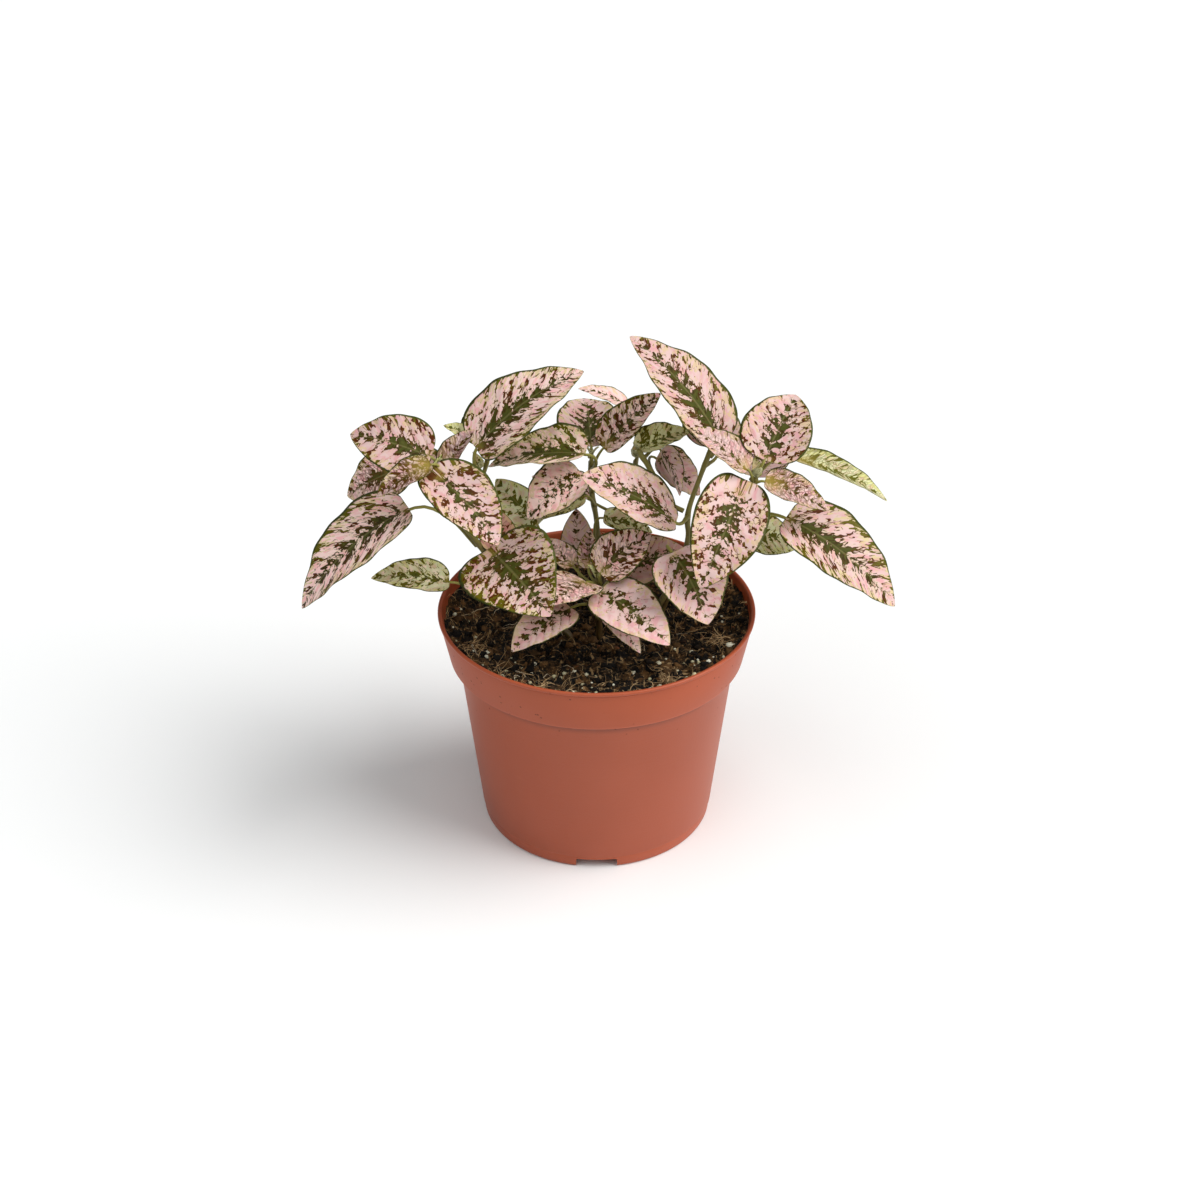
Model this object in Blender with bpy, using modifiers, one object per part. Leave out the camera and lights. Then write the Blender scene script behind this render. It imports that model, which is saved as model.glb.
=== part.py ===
"""Polka dot plant in a round nursery pot: pot, soil, stems and leaves, each its own solid.

The pot's foot stands on z = 0 and the pot's axis is the z axis. The side with the
lowest leaves and one of the drain notches faces -Y.
Plant sizes and places below are in millimetres and degrees.
"""

import math
from collections import namedtuple

import bmesh
import bpy
from mathutils import Vector

MM = 0.001
MODEL_NAME = "potted_polka_dot_plant"
CLEARANCE = 0.3

# Pot
POT_HEIGHT = 90.0
RIM_RADIUS = 60.0
COLLAR_FOOT_RADIUS = 56.2
COLLAR_FOOT_HEIGHT = 71.9
BODY_TOP_RADIUS = 52.8
BASE_RADIUS = 44.6
WALL = 1.5
LIP = 0.8
LIP_CORNER = 0.1
FLOOR_UNDERSIDE = 4.2
FLOOR_THICKNESS = 1.6
FLOOR_CORNER = 1.5
FOOT_CORNER = 0.8
FOOT_WIDTH = 1.3
POT_SEGMENTS = 64
NOTCH_COUNT = 3
NOTCH_WIDTH = 15.6
NOTCH_HEIGHT = 3.0
NOTCH_DEPTH = 10.0
NOTCH_CORNER = 1.0
DRAIN_RADIUS = 4.0
DRAIN_SEGMENTS = 20
DRAIN_RING_RADIUS = 28.0

# Soil
SOIL_HEIGHT = 81.5
SOIL_CROWN = 1.0
SOIL_DRAFT = 0.3
SOIL_SEGMENTS = 48

# Stems
STEM_BASE_RADIUS = 1.4
STEM_TOP_RADIUS = 0.9
STEM_UPRIGHT = 2.0
STEM_STEPS = 4

# Leaves
LEAF_THICKNESS = 0.6
PETIOLE_HALF_WIDTH = 0.7
PETIOLE_STATIONS = (0.0, 0.35, 0.7)
BLADE_STATIONS = (0.0, 0.05, 0.16, 0.32, 0.5, 0.68, 0.84, 0.95, 1.0)
BLADE_STRIPS = 4
TIP_POWER = 0.8
TIP_HALF_WIDTH = 0.3
BASE_LOBE = 0.06
LOBE_FADE = 4
LOBE_ONSET = 0.1
FOOT_STANDOFF = 0.5
STALK_LEAD = 0.4

# joint: height on the stem where the leaf stalk leaves it. base: where the stalk meets
# the blade. heading: 0 is +X and 90 is +Y. pitch: rise of the line from base to tip.
# roll: lift of the leaf's left side. arch: how much the midrib turns down along the
# blade. channel: lift of the margins above the midrib, as a share of the half width.
# shoulder: the lower, the fuller the blade is near its base.
LEAF_FIELDS = "joint base heading pitch roll length width arch channel shoulder"
Leaf = namedtuple("Leaf", LEAF_FIELDS, defaults=(0.36,))

STEM_ROUTES = {
    "left": ((-16, -4), ((-30, -6, 100), (-43, -8, 121), (-51, -10, 135), (-57, -12, 152))),
    "left_back": ((-12, 8), ((-24, 8, 101), (-36, 8, 118), (-42, 9, 130), (-43, 10, 143))),
    "low_left": ((-10, -12), ((-20, -12, 96), (-31, -11, 106), (-37, -11, 115))),
    "crown": ((0, 2), ((1, 4, 105), (0, 10, 121), (-2, 18, 131), (-2, 22, 141))),
    "right_inner": ((24, 2), ((28, 1, 98), (32, -1, 111), (34, -1, 121), (34, 1, 131), (42, 8, 153))),
    "middle": ((32, 0, 131), ((27, 1, 134), (20, 7, 144), (15, 11, 151))),
    "right": ((18, -8), ((30, -7, 107), (43, -5, 119), (53, -5, 137), (58, -6, 148))),
    "front": ((1, -9), ((1, -12, 96), (1, -15, 106), (0, -18, 113))),
    "back": ((2, 14), ((4, 22, 98), (10, 30, 112), (14, 34, 124), (15, 36, 134))),
}

LEAVES = {
    "left": (
        Leaf(149, (-60, -8, 158), 165, 9, -40, 30, 23, 45, 0.15),
        Leaf(147, (-69, 8, 145.5), 168, -32, -45, 29, 22, 35, 0.15),
        Leaf(150, (-59, -17, 159), 200, -25, -15, 22, 13, 25, 0.3),
        Leaf(151, (-54, -10, 154.5), 38, 40, 5, 17, 11, 15, 0.5),
        Leaf(148, (-55, -19.5, 155), -40, -33, 12, 32, 28, 35, 0.2),
        Leaf(122, (-69, -14, 139), 201, -39, 0, 52, 38, 40, 0.15),
        Leaf(144, (-62, 12, 141), 125, -12, 0, 28, 20, 40, 0.15),
    ),
    "left_back": (
        Leaf(141, (-43, 8, 154), 20, 29.5, 10, 47, 35, 40, 0.15, 0.3),
        Leaf(140, (-42, 18, 150), 168, 20, -10, 16, 10, 20, 0.2),
        Leaf(138, (-40, 21, 147), 83, 5, 0, 34, 24, 35, 0.15),
        Leaf(108, (-35, 16, 110), 105, -8, 0, 36, 24, 35, 0.15),
    ),
    "low_left": (
        Leaf(114, (-37, -16, 122), -57, -10, 26, 39, 36, 40, 0.2),
        Leaf(106, (-55, -12, 108), 184, 5, -15, 28, 17, 30, 0.2),
        Leaf(114, (-36, -8, 119), 90, 50, 5, 15, 11, 20, 0.2),
        Leaf(110, (-22, 1, 125), 143, 33, -50, 23, 13, 20, 0.3),
    ),
    "crown": (
        Leaf(140, (-2, 24, 146), 97, 20, 5, 24, 20, 50, 0.3),
        Leaf(139, (3, 22, 146), 25, 37, 25, 29, 14, 20, 0.5),
        Leaf(137, (-5, 7, 151), 165, -16, -5, 38, 28, 30, 0.3),
        Leaf(130, (-6, 3, 144), 200, -35, -15, 25, 24, 40, 0.2),
        Leaf(126, (-5, 11, 131), 190, -22, -25, 22, 11, 30, 0.2),
        Leaf(112, (3, 4, 126), 0, -20, 20, 19, 11, 20, 0.2),
    ),
    "middle": (
        Leaf(149, (16, 15, 149), 15, 13, 8, 20, 13, 20, 0.4),
        Leaf(148, (24, 13, 149), -20, -67, 0, 19, 11, 25, 0.4),
        Leaf(144, (23, 22, 141), -2, -43, 25, 22, 14, 25, 0.3),
    ),
    "right_inner": (
        Leaf(151, (45, 11, 155), 149, 40, 0, 50, 34, 30, 0.15),
        Leaf(147, (45, 20, 148), 106, 12, 0, 24, 18, 35, 0.15),
        Leaf(128, (28, -8, 131), 182, 30, -22, 39, 26, 35, 0.2, 0.6),
        Leaf(110, (28, -22, 125), -52, -45, 5, 28, 25, 40, 0.3),
    ),
    "right": (
        Leaf(146, (54, -8, 153), 160, 29, -10, 25, 16, 25, 0.25),
        Leaf(147, (61, -4, 155), 63, 27, 15, 30, 26, 35, 0.2),
        Leaf(145, (61, -11, 149), -7, -24, 15, 25, 16, 25, 0.25),
        Leaf(143, (51, -17, 147), 238, -43, -32, 37, 27, 40, 0.2),
        Leaf(133, (70, -10, 133), -21, -34, 13, 50, 32, 40, 0.15),
        Leaf(141, (71, 6, 150), 7, -29, 10, 43, 14, 25, 0.4, 0.5),
        Leaf(118, (55, 3, 121), 3, -20, 35, 22, 14, 25, 0.2),
        Leaf(139, (60, 16, 137), 74, 4, 0, 32, 22, 40, 0.15),
        Leaf(112, (50, 14, 112), 75, -10, 0, 36, 24, 40, 0.15),
    ),
    "front": (
        Leaf(104, (-7, -5, 110), 92, 50, 0, 22, 11, 20, 0.5),
        Leaf(107, (-9, -9, 113), 144, 32, -25, 14, 8, 20, 0.4),
        Leaf(101, (9, 6, 101), 8, 19, 20, 26, 20, 30, 0.2),
        Leaf(112, (2, -19, 116), 27, 29, 20, 23, 17, 30, 0.3),
        Leaf(109, (-3, -12, 114), 87, 58, -5, 14, 7, 20, 0.4),
        Leaf(111, (-4, -23, 114), 235, 3, -5, 22, 18, 35, 0.2),
        Leaf(98, (-10, -28, 106), 217, -19, -5, 27, 20, 30, 0.15),
        Leaf(105, (2, -26, 112), -43, -15, 15, 34, 23, 30, 0.15),
        Leaf(93, (3, -30, 106), -38, -35, 5, 20, 11, 25, 0.2),
    ),
    "back": (
        Leaf(132, (11, 50, 150), 173, 17, -5, 19, 11, 25, 0.2),
        Leaf(108, (13, 38, 112), 55, -20, 0, 26, 20, 40, 0.15),
        Leaf(112, (-4, 36, 117), 145, 3, 0, 26, 20, 40, 0.15),
    ),
}

LEAF_PINK = (0.86, 0.58, 0.58)
LEAF_GREEN = (0.30, 0.38, 0.12)
STEM_GREEN = (0.34, 0.37, 0.11)
SOIL_BROWN = (0.035, 0.025, 0.018)
POT_TERRACOTTA = (0.45, 0.11, 0.055)


def clear_scene():
    for obj in list(bpy.data.objects):
        bpy.data.objects.remove(obj)


def new_collection(name, render=True):
    collection = bpy.data.collections.new(name)
    bpy.context.scene.collection.children.link(collection)
    collection.hide_render = not render
    return collection


def material(name, colour, roughness):
    mat = bpy.data.materials.new(name)
    mat.use_nodes = True
    shader = mat.node_tree.nodes["Principled BSDF"]
    shader.inputs["Base Color"].default_value = (*colour, 1.0)
    shader.inputs["Roughness"].default_value = roughness
    shader.inputs["Metallic"].default_value = 0.0
    return mat


def add_object(name, data, collection, mat=None):
    obj = bpy.data.objects.new(name, data)
    collection.objects.link(obj)
    if mat:
        data.materials.append(mat)
    return obj


def mesh_object(name, bm, collection, mat=None):
    mesh = bpy.data.meshes.new(name)
    bm.to_mesh(mesh)
    bm.free()
    return add_object(name, mesh, collection, mat)


# --- Turned pieces -------------------------------------------------------------------


def turned(name, profile, segments, collection, mat):
    """A solid of revolution from (radius, height) points that run down its outer side."""
    bm = bmesh.new()
    verts = [bm.verts.new((radius * MM, 0, height * MM)) for radius, height in profile]
    for start, end in zip(verts, verts[1:]):
        bm.edges.new((start, end))
    obj = mesh_object(name, bm, collection, mat)
    screw = obj.modifiers.new("Turn", "SCREW")
    screw.steps = segments
    screw.render_steps = segments
    screw.use_merge_vertices = True
    screw.merge_threshold = 0.00005
    screw.use_smooth_shade = True
    return obj


def body_radius(height):
    """Outer radius of the tapering body below the collar."""
    rise = height / COLLAR_FOOT_HEIGHT
    return BASE_RADIUS + (BODY_TOP_RADIUS - BASE_RADIUS) * rise


def pot_profile():
    """From the middle of the floor's top, up inside, over the lip and down to the foot."""
    floor_top = FLOOR_UNDERSIDE + FLOOR_THICKNESS
    inside = [
        (0, floor_top),
        (body_radius(floor_top) - WALL - FLOOR_CORNER, floor_top),
        (body_radius(floor_top + FLOOR_CORNER) - WALL, floor_top + FLOOR_CORNER),
        (body_radius(COLLAR_FOOT_HEIGHT) - WALL, COLLAR_FOOT_HEIGHT - 0.7 * WALL),
        (COLLAR_FOOT_RADIUS - WALL, COLLAR_FOOT_HEIGHT + WALL),
        (RIM_RADIUS - LIP - WALL, POT_HEIGHT - 2 * LIP),
        (RIM_RADIUS - LIP - WALL + 2 * LIP_CORNER, POT_HEIGHT - 0.5 * LIP),
    ]
    lip = [
        (RIM_RADIUS - WALL, POT_HEIGHT),
        (RIM_RADIUS - 0.5 * LIP, POT_HEIGHT - LIP_CORNER),
        (RIM_RADIUS, POT_HEIGHT - LIP),
        (RIM_RADIUS - LIP_CORNER, POT_HEIGHT - 2 * LIP),
        (RIM_RADIUS - LIP, POT_HEIGHT - 3 * LIP),
    ]
    outside = [
        (COLLAR_FOOT_RADIUS, COLLAR_FOOT_HEIGHT + 5 * LIP_CORNER),
        (COLLAR_FOOT_RADIUS - 5 * LIP_CORNER, COLLAR_FOOT_HEIGHT),
        (BODY_TOP_RADIUS, COLLAR_FOOT_HEIGHT),
        (body_radius(FOOT_CORNER), FOOT_CORNER),
        (BASE_RADIUS - FOOT_CORNER, 0),
    ]
    underside = [
        (BASE_RADIUS - FOOT_CORNER - FOOT_WIDTH, 0),
        (BASE_RADIUS - 1.2 * WALL, FLOOR_UNDERSIDE),
        (0, FLOOR_UNDERSIDE),
    ]
    return inside + lip + outside + underside


def ring_angles(count):
    """Directions spread evenly round the pot, the first at the front."""
    return [math.radians(-90 + 360 * i / count) for i in range(count)]


def notch_cutter(index, angle, cutters):
    bm = bmesh.new()
    bmesh.ops.create_cube(bm, size=1.0)
    size = Vector((NOTCH_DEPTH, NOTCH_WIDTH, 2 * NOTCH_HEIGHT)) * MM
    bmesh.ops.scale(bm, vec=size, verts=bm.verts)
    obj = mesh_object(f"notch_cutter_{index}", bm, cutters)
    reach = BASE_RADIUS * MM
    obj.location = (reach * math.cos(angle), reach * math.sin(angle), 0)
    obj.rotation_euler.z = angle
    bevel = obj.modifiers.new("Round", "BEVEL")
    bevel.width = NOTCH_CORNER * MM
    bevel.segments = 2
    return obj


def drain_cutter(index, x, y, cutters):
    bm = bmesh.new()
    bmesh.ops.create_cone(
        bm,
        cap_ends=True,
        segments=DRAIN_SEGMENTS,
        radius1=DRAIN_RADIUS * MM,
        radius2=DRAIN_RADIUS * MM,
        depth=6 * FLOOR_THICKNESS * MM,
    )
    obj = mesh_object(f"drain_cutter_{index}", bm, cutters)
    obj.location = (x * MM, y * MM, FLOOR_UNDERSIDE * MM)
    return obj


def cut(obj, cutter):
    cutter.display_type = "WIRE"
    cutter.hide_render = True
    boolean = obj.modifiers.new(f"Cut {cutter.name}", "BOOLEAN")
    boolean.operation = "DIFFERENCE"
    boolean.object = cutter


def make_pot(collection, cutters, mat):
    pot = turned("pot", pot_profile(), POT_SEGMENTS, collection, mat)
    drains = [(0, 0)]
    for index, angle in enumerate(ring_angles(NOTCH_COUNT)):
        cut(pot, notch_cutter(index, angle, cutters))
        drains.append((DRAIN_RING_RADIUS * math.cos(angle), DRAIN_RING_RADIUS * math.sin(angle)))
    for index, (x, y) in enumerate(drains):
        cut(pot, drain_cutter(index, x, y, cutters))


def soil_profile():
    """From the middle of the soil's surface outwards and down to its underside."""
    floor_top = FLOOR_UNDERSIDE + FLOOR_THICKNESS
    gap = WALL + CLEARANCE + SOIL_DRAFT
    collar_rise = (SOIL_HEIGHT - COLLAR_FOOT_HEIGHT) / (POT_HEIGHT - COLLAR_FOOT_HEIGHT)
    collar_radius = COLLAR_FOOT_RADIUS + (RIM_RADIUS - LIP - COLLAR_FOOT_RADIUS) * collar_rise
    edge = collar_radius - gap - SOIL_DRAFT
    return [
        (0, SOIL_HEIGHT + CLEARANCE),
        (0.55 * edge, SOIL_HEIGHT),
        (0.85 * edge, SOIL_HEIGHT - SOIL_CROWN),
        (edge, SOIL_HEIGHT - 2 * SOIL_CROWN),
        (COLLAR_FOOT_RADIUS - gap, COLLAR_FOOT_HEIGHT + 1.7 * WALL),
        (body_radius(COLLAR_FOOT_HEIGHT) - gap, COLLAR_FOOT_HEIGHT - CLEARANCE),
        (body_radius(floor_top) - gap, floor_top + FLOOR_CORNER + 1.0),
        (body_radius(floor_top) - gap - FLOOR_CORNER, floor_top + CLEARANCE),
        (0, floor_top + CLEARANCE),
    ]


# --- Stems ---------------------------------------------------------------------------


def smooth_route(points, steps):
    """Points along a Catmull-Rom curve through the given ones."""
    ends = [points[0] * 2 - points[1], *points, points[-1] * 2 - points[-2]]
    route = []
    for p0, p1, p2, p3 in zip(ends, ends[1:], ends[2:], ends[3:]):
        for step in range(steps):
            t = step / steps
            route.append(
                0.5
                * (
                    2 * p1
                    + (p2 - p0) * t
                    + (2 * p0 - 5 * p1 + 4 * p2 - p3) * t**2
                    + (3 * p1 - p0 - 3 * p2 + p3) * t**3
                )
            )
    return [*route, points[-1].copy()]


def stem_route(name):
    """A stem's centre line in millimetres; one that starts at the soil leaves it upright."""
    foot, points = STEM_ROUTES[name]
    points = [Vector(point) for point in points]
    if len(foot) == 3:
        return smooth_route([Vector(foot), *points], STEM_STEPS)
    ground = Vector((*foot, SOIL_HEIGHT + 2 * CLEARANCE))
    collar = ground + Vector((0, 0, STEM_UPRIGHT))
    return [ground, *smooth_route([collar, *points], STEM_STEPS)]


def stem_radius(route, height):
    top, foot = route[-1].z, SOIL_HEIGHT
    share = (height - foot) / (top - foot)
    return STEM_BASE_RADIUS + (STEM_TOP_RADIUS - STEM_BASE_RADIUS) * share


def make_stem(name, collection, mat):
    route = stem_route(name)
    curve = bpy.data.curves.new(f"stem_{name}", "CURVE")
    curve.dimensions = "3D"
    curve.bevel_depth = MM
    curve.bevel_resolution = 2
    curve.use_fill_caps = True
    spline = curve.splines.new("POLY")
    spline.points.add(len(route) - 1)
    for point, place in zip(spline.points, route):
        point.co = (*(place * MM), 1)
        point.radius = stem_radius(route, place.z)
    add_object(f"stem_{name}", curve, collection, mat)


def point_on_stem(route, height):
    """Where the stem passes a height, and the way it runs there."""
    for low, high in zip(route, route[1:]):
        if low.z <= height <= high.z:
            share = (height - low.z) / (high.z - low.z)
            return low.lerp(high, share), (high - low).normalized()
    raise ValueError(f"the stem doesn't reach {height} mm")


# --- Leaves --------------------------------------------------------------------------


def blade_axes(leaf):
    """Unit vectors from base to tip, to the leaf's left, and out of its upper face."""
    heading, pitch, roll = (math.radians(a) for a in (leaf.heading, leaf.pitch, leaf.roll))
    level = Vector((math.cos(heading), math.sin(heading), 0))
    along = level * math.cos(pitch) + Vector((0, 0, math.sin(pitch)))
    side = Vector((-math.sin(heading), math.cos(heading), 0))
    up = along.cross(side)
    left = side * math.cos(roll) + up * math.sin(roll)
    return along, left, along.cross(left)


def half_width(leaf, t):
    """Ovate outline: full at the shoulder, drawn to a point at the tip."""
    fullest = leaf.shoulder / (leaf.shoulder + TIP_POWER)
    peak = fullest**leaf.shoulder * (1 - fullest) ** TIP_POWER
    width = 0.5 * leaf.width * t**leaf.shoulder * (1 - t) ** TIP_POWER / peak
    narrowest = TIP_HALF_WIDTH if t > 0.5 else PETIOLE_HALF_WIDTH
    return max(width, narrowest)


def blade_point(leaf, axes, t, across):
    """A point on the blade, t from base to tip and across from -1 (right) to 1 (left)."""
    along, side, up = axes
    half = half_width(leaf, t)
    rise = 0.5 * math.radians(leaf.arch) * leaf.length * t * (1 - t)
    lobe = BASE_LOBE * across**2 * (1 - t) ** LOBE_FADE * min(1, t / LOBE_ONSET)
    place = Vector(leaf.base) + along * leaf.length * (t - lobe)
    return place + side * half * across + up * (rise + half * leaf.channel * across**2)


def stalk_curve(leaf, axes, route):
    """Control points of the leaf stalk, from just off the stem to the blade's base, and
    the way across the stalk where it leaves the stem."""
    along, _, up = axes
    turn = 0.5 * math.radians(leaf.arch)
    arrival = along * math.cos(turn) + up * math.sin(turn)
    joint, run = point_on_stem(route, leaf.joint)
    base = Vector(leaf.base)
    middle = base - arrival * STALK_LEAD * (base - joint).length
    outward = middle - joint
    outward = (outward - run * outward.dot(run)).normalized()
    foot = joint + outward * (stem_radius(route, leaf.joint) + FOOT_STANDOFF)
    across = run.cross(outward)
    if across.dot(axes[1]) < 0:
        across.negate()
    return foot, middle, base, across


def stalk_point(leaf, axes, curve, t, across):
    foot, middle, base, foot_side = curve
    place = foot * (1 - t) ** 2 + middle * 2 * t * (1 - t) + base * t**2
    run = ((middle - foot) * (1 - t) + (base - middle) * t).normalized()
    side = foot_side.lerp(axes[1], t)
    side = (side - run * side.dot(run)).normalized()
    up = run.cross(side)
    lift = PETIOLE_HALF_WIDTH * leaf.channel * across**2
    return place + side * PETIOLE_HALF_WIDTH * across + up * lift


def make_leaf(name, leaf, route, collection, mat):
    """Stalk and blade as one strip of faces, shaped row by row and given its thickness."""
    axes = blade_axes(leaf)
    curve = stalk_curve(leaf, axes, route)
    stations = len(PETIOLE_STATIONS) + len(BLADE_STATIONS)
    bm = bmesh.new()
    bmesh.ops.create_grid(bm, x_segments=stations - 1, y_segments=BLADE_STRIPS, size=1.0)
    for vert in bm.verts:
        station = round((vert.co.x + 1) / 2 * (stations - 1))
        across = vert.co.y
        if station < len(PETIOLE_STATIONS):
            place = stalk_point(leaf, axes, curve, PETIOLE_STATIONS[station], across)
        else:
            t = BLADE_STATIONS[station - len(PETIOLE_STATIONS)]
            place = blade_point(leaf, axes, t, across)
        vert.co = place * MM
    obj = mesh_object(name, bm, collection, mat)
    obj.data.shade_smooth()
    solidify = obj.modifiers.new("Thickness", "SOLIDIFY")
    solidify.thickness = LEAF_THICKNESS * MM
    solidify.offset = 0
    return obj


def main():
    clear_scene()
    model = new_collection(MODEL_NAME)
    cutters = new_collection("cutters", render=False)
    leaf_pink = material("leaf_pink", LEAF_PINK, 0.55)
    stem_green = material("stem_green", STEM_GREEN, 0.6)
    make_pot(model, cutters, material("pot_plastic", POT_TERRACOTTA, 0.6))
    turned("soil", soil_profile(), SOIL_SEGMENTS, model, material("soil", SOIL_BROWN, 0.95))
    for shoot, leaves in LEAVES.items():
        make_stem(shoot, model, stem_green)
        for number, leaf in enumerate(leaves, 1):
            make_leaf(f"leaf_{shoot}_{number}", leaf, stem_route(shoot), model, leaf_pink)


main()
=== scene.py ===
"""Looks of the potted polka dot plant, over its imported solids.

Each leaf and stem is remade finely along the cross-sections of its plain solid, the soil
gets a lumpy top with what lies in it, and the pot is turned again with rounded edges.
Lengths are in metres unless a name or a comment says otherwise.
"""

import math
import random
from collections import namedtuple

import bmesh
import bpy
from bpy.props import FloatProperty, FloatVectorProperty, IntProperty, PointerProperty
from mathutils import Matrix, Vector, noise


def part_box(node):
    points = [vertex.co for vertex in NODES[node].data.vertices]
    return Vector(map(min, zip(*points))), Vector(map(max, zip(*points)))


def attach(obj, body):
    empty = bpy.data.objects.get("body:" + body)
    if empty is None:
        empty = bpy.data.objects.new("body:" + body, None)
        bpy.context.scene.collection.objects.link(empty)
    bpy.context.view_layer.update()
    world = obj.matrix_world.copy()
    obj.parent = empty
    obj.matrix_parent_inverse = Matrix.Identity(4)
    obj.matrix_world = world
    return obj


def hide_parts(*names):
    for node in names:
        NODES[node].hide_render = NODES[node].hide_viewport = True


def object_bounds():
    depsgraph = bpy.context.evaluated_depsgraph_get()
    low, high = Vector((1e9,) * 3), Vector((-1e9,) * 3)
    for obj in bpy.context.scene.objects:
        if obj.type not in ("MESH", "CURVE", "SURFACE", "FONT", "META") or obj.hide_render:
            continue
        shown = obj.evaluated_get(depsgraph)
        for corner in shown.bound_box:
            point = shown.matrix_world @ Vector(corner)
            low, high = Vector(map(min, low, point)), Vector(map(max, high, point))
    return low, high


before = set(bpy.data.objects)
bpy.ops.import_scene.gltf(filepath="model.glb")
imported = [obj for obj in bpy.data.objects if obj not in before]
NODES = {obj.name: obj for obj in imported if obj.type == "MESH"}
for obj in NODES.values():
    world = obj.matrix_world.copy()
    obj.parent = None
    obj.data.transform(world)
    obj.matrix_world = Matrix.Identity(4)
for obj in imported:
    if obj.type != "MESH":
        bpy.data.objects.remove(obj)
CAD_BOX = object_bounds()

bl_info = {
    "name": "Potted Polka Dot Plant",
    "version": (1, 0, 0),
    "blender": (4, 5, 0),
    "location": "3D View > Sidebar > Plant",
    "description": "Fine leaves, stems, soil, pot and studio for the packed plant",
    "category": "Object",
}

MM = 0.001
BODY = "root"
WELD = 0.01 * MM

# How the solid of a leaf is built up
STALK_SECTIONS = 3
LEAF_SECTIONS = 12
POINTS_IN_SECTION = 10

# How finely the pieces are made
BLADE_ROWS, BLADE_COLUMNS = 56, 22
BUD_ROWS, BUD_COLUMNS = 12, 8
STALK_ROWS, RIB_ROWS, STALK_SIDES = 9, 22, 8
STEM_ROW, STEM_SIDES = 0.9 * MM, 16
SOIL_RINGS, SOIL_TURN, POT_TURN = 84, 260, 160

# The shape of a leaf
SHOULDER_POWER, TIP_POWER = 0.36, 0.8
GROWN_WIDTH = 30 * MM  # a blade this wide has waves of the full height
RIPPLES = ((2.3, 1.0), (5.1, 0.5))  # waves along a margin and their share of its height
LOBE = 0.14  # how far back a lobe of 1 reaches, as a share of the width
LATERALS = 7.0  # side veins on each side
RIB_REACH = 0.94  # how far along the blade its midrib stands out
STALK_SUNK = 1.3 * MM  # how deep a stalk's foot is in its stem
FULL_STALK = 70 * MM  # blade width that adds a whole radius to the smallest stalk's 0.55

# The materials of a leaf's mesh
UPPER, UNDER, STALK = range(3)

# cover: how much of the blade is dark. core: how wide the green along the midrib is.
# blush: from palest pink to dusky, the leaf's own tone with painted light and shade in it:
# paler for leaves that the lamps leave dim, duskier for leaves in shade low in the plant.
# green: from pink to lime. net: how strongly the finest veins show. lobe: how far the
# blade's base reaches back beside its stalk.
# drawn: from round flecks to flecks drawn out along the side veins. broad: its width,
# as a share of its solid's.
Look = namedtuple(
    "Look", "cover core blush green net lobe drawn broad", defaults=(0.0, 0.0, 0.3, 0.6, 1.0)
)

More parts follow.
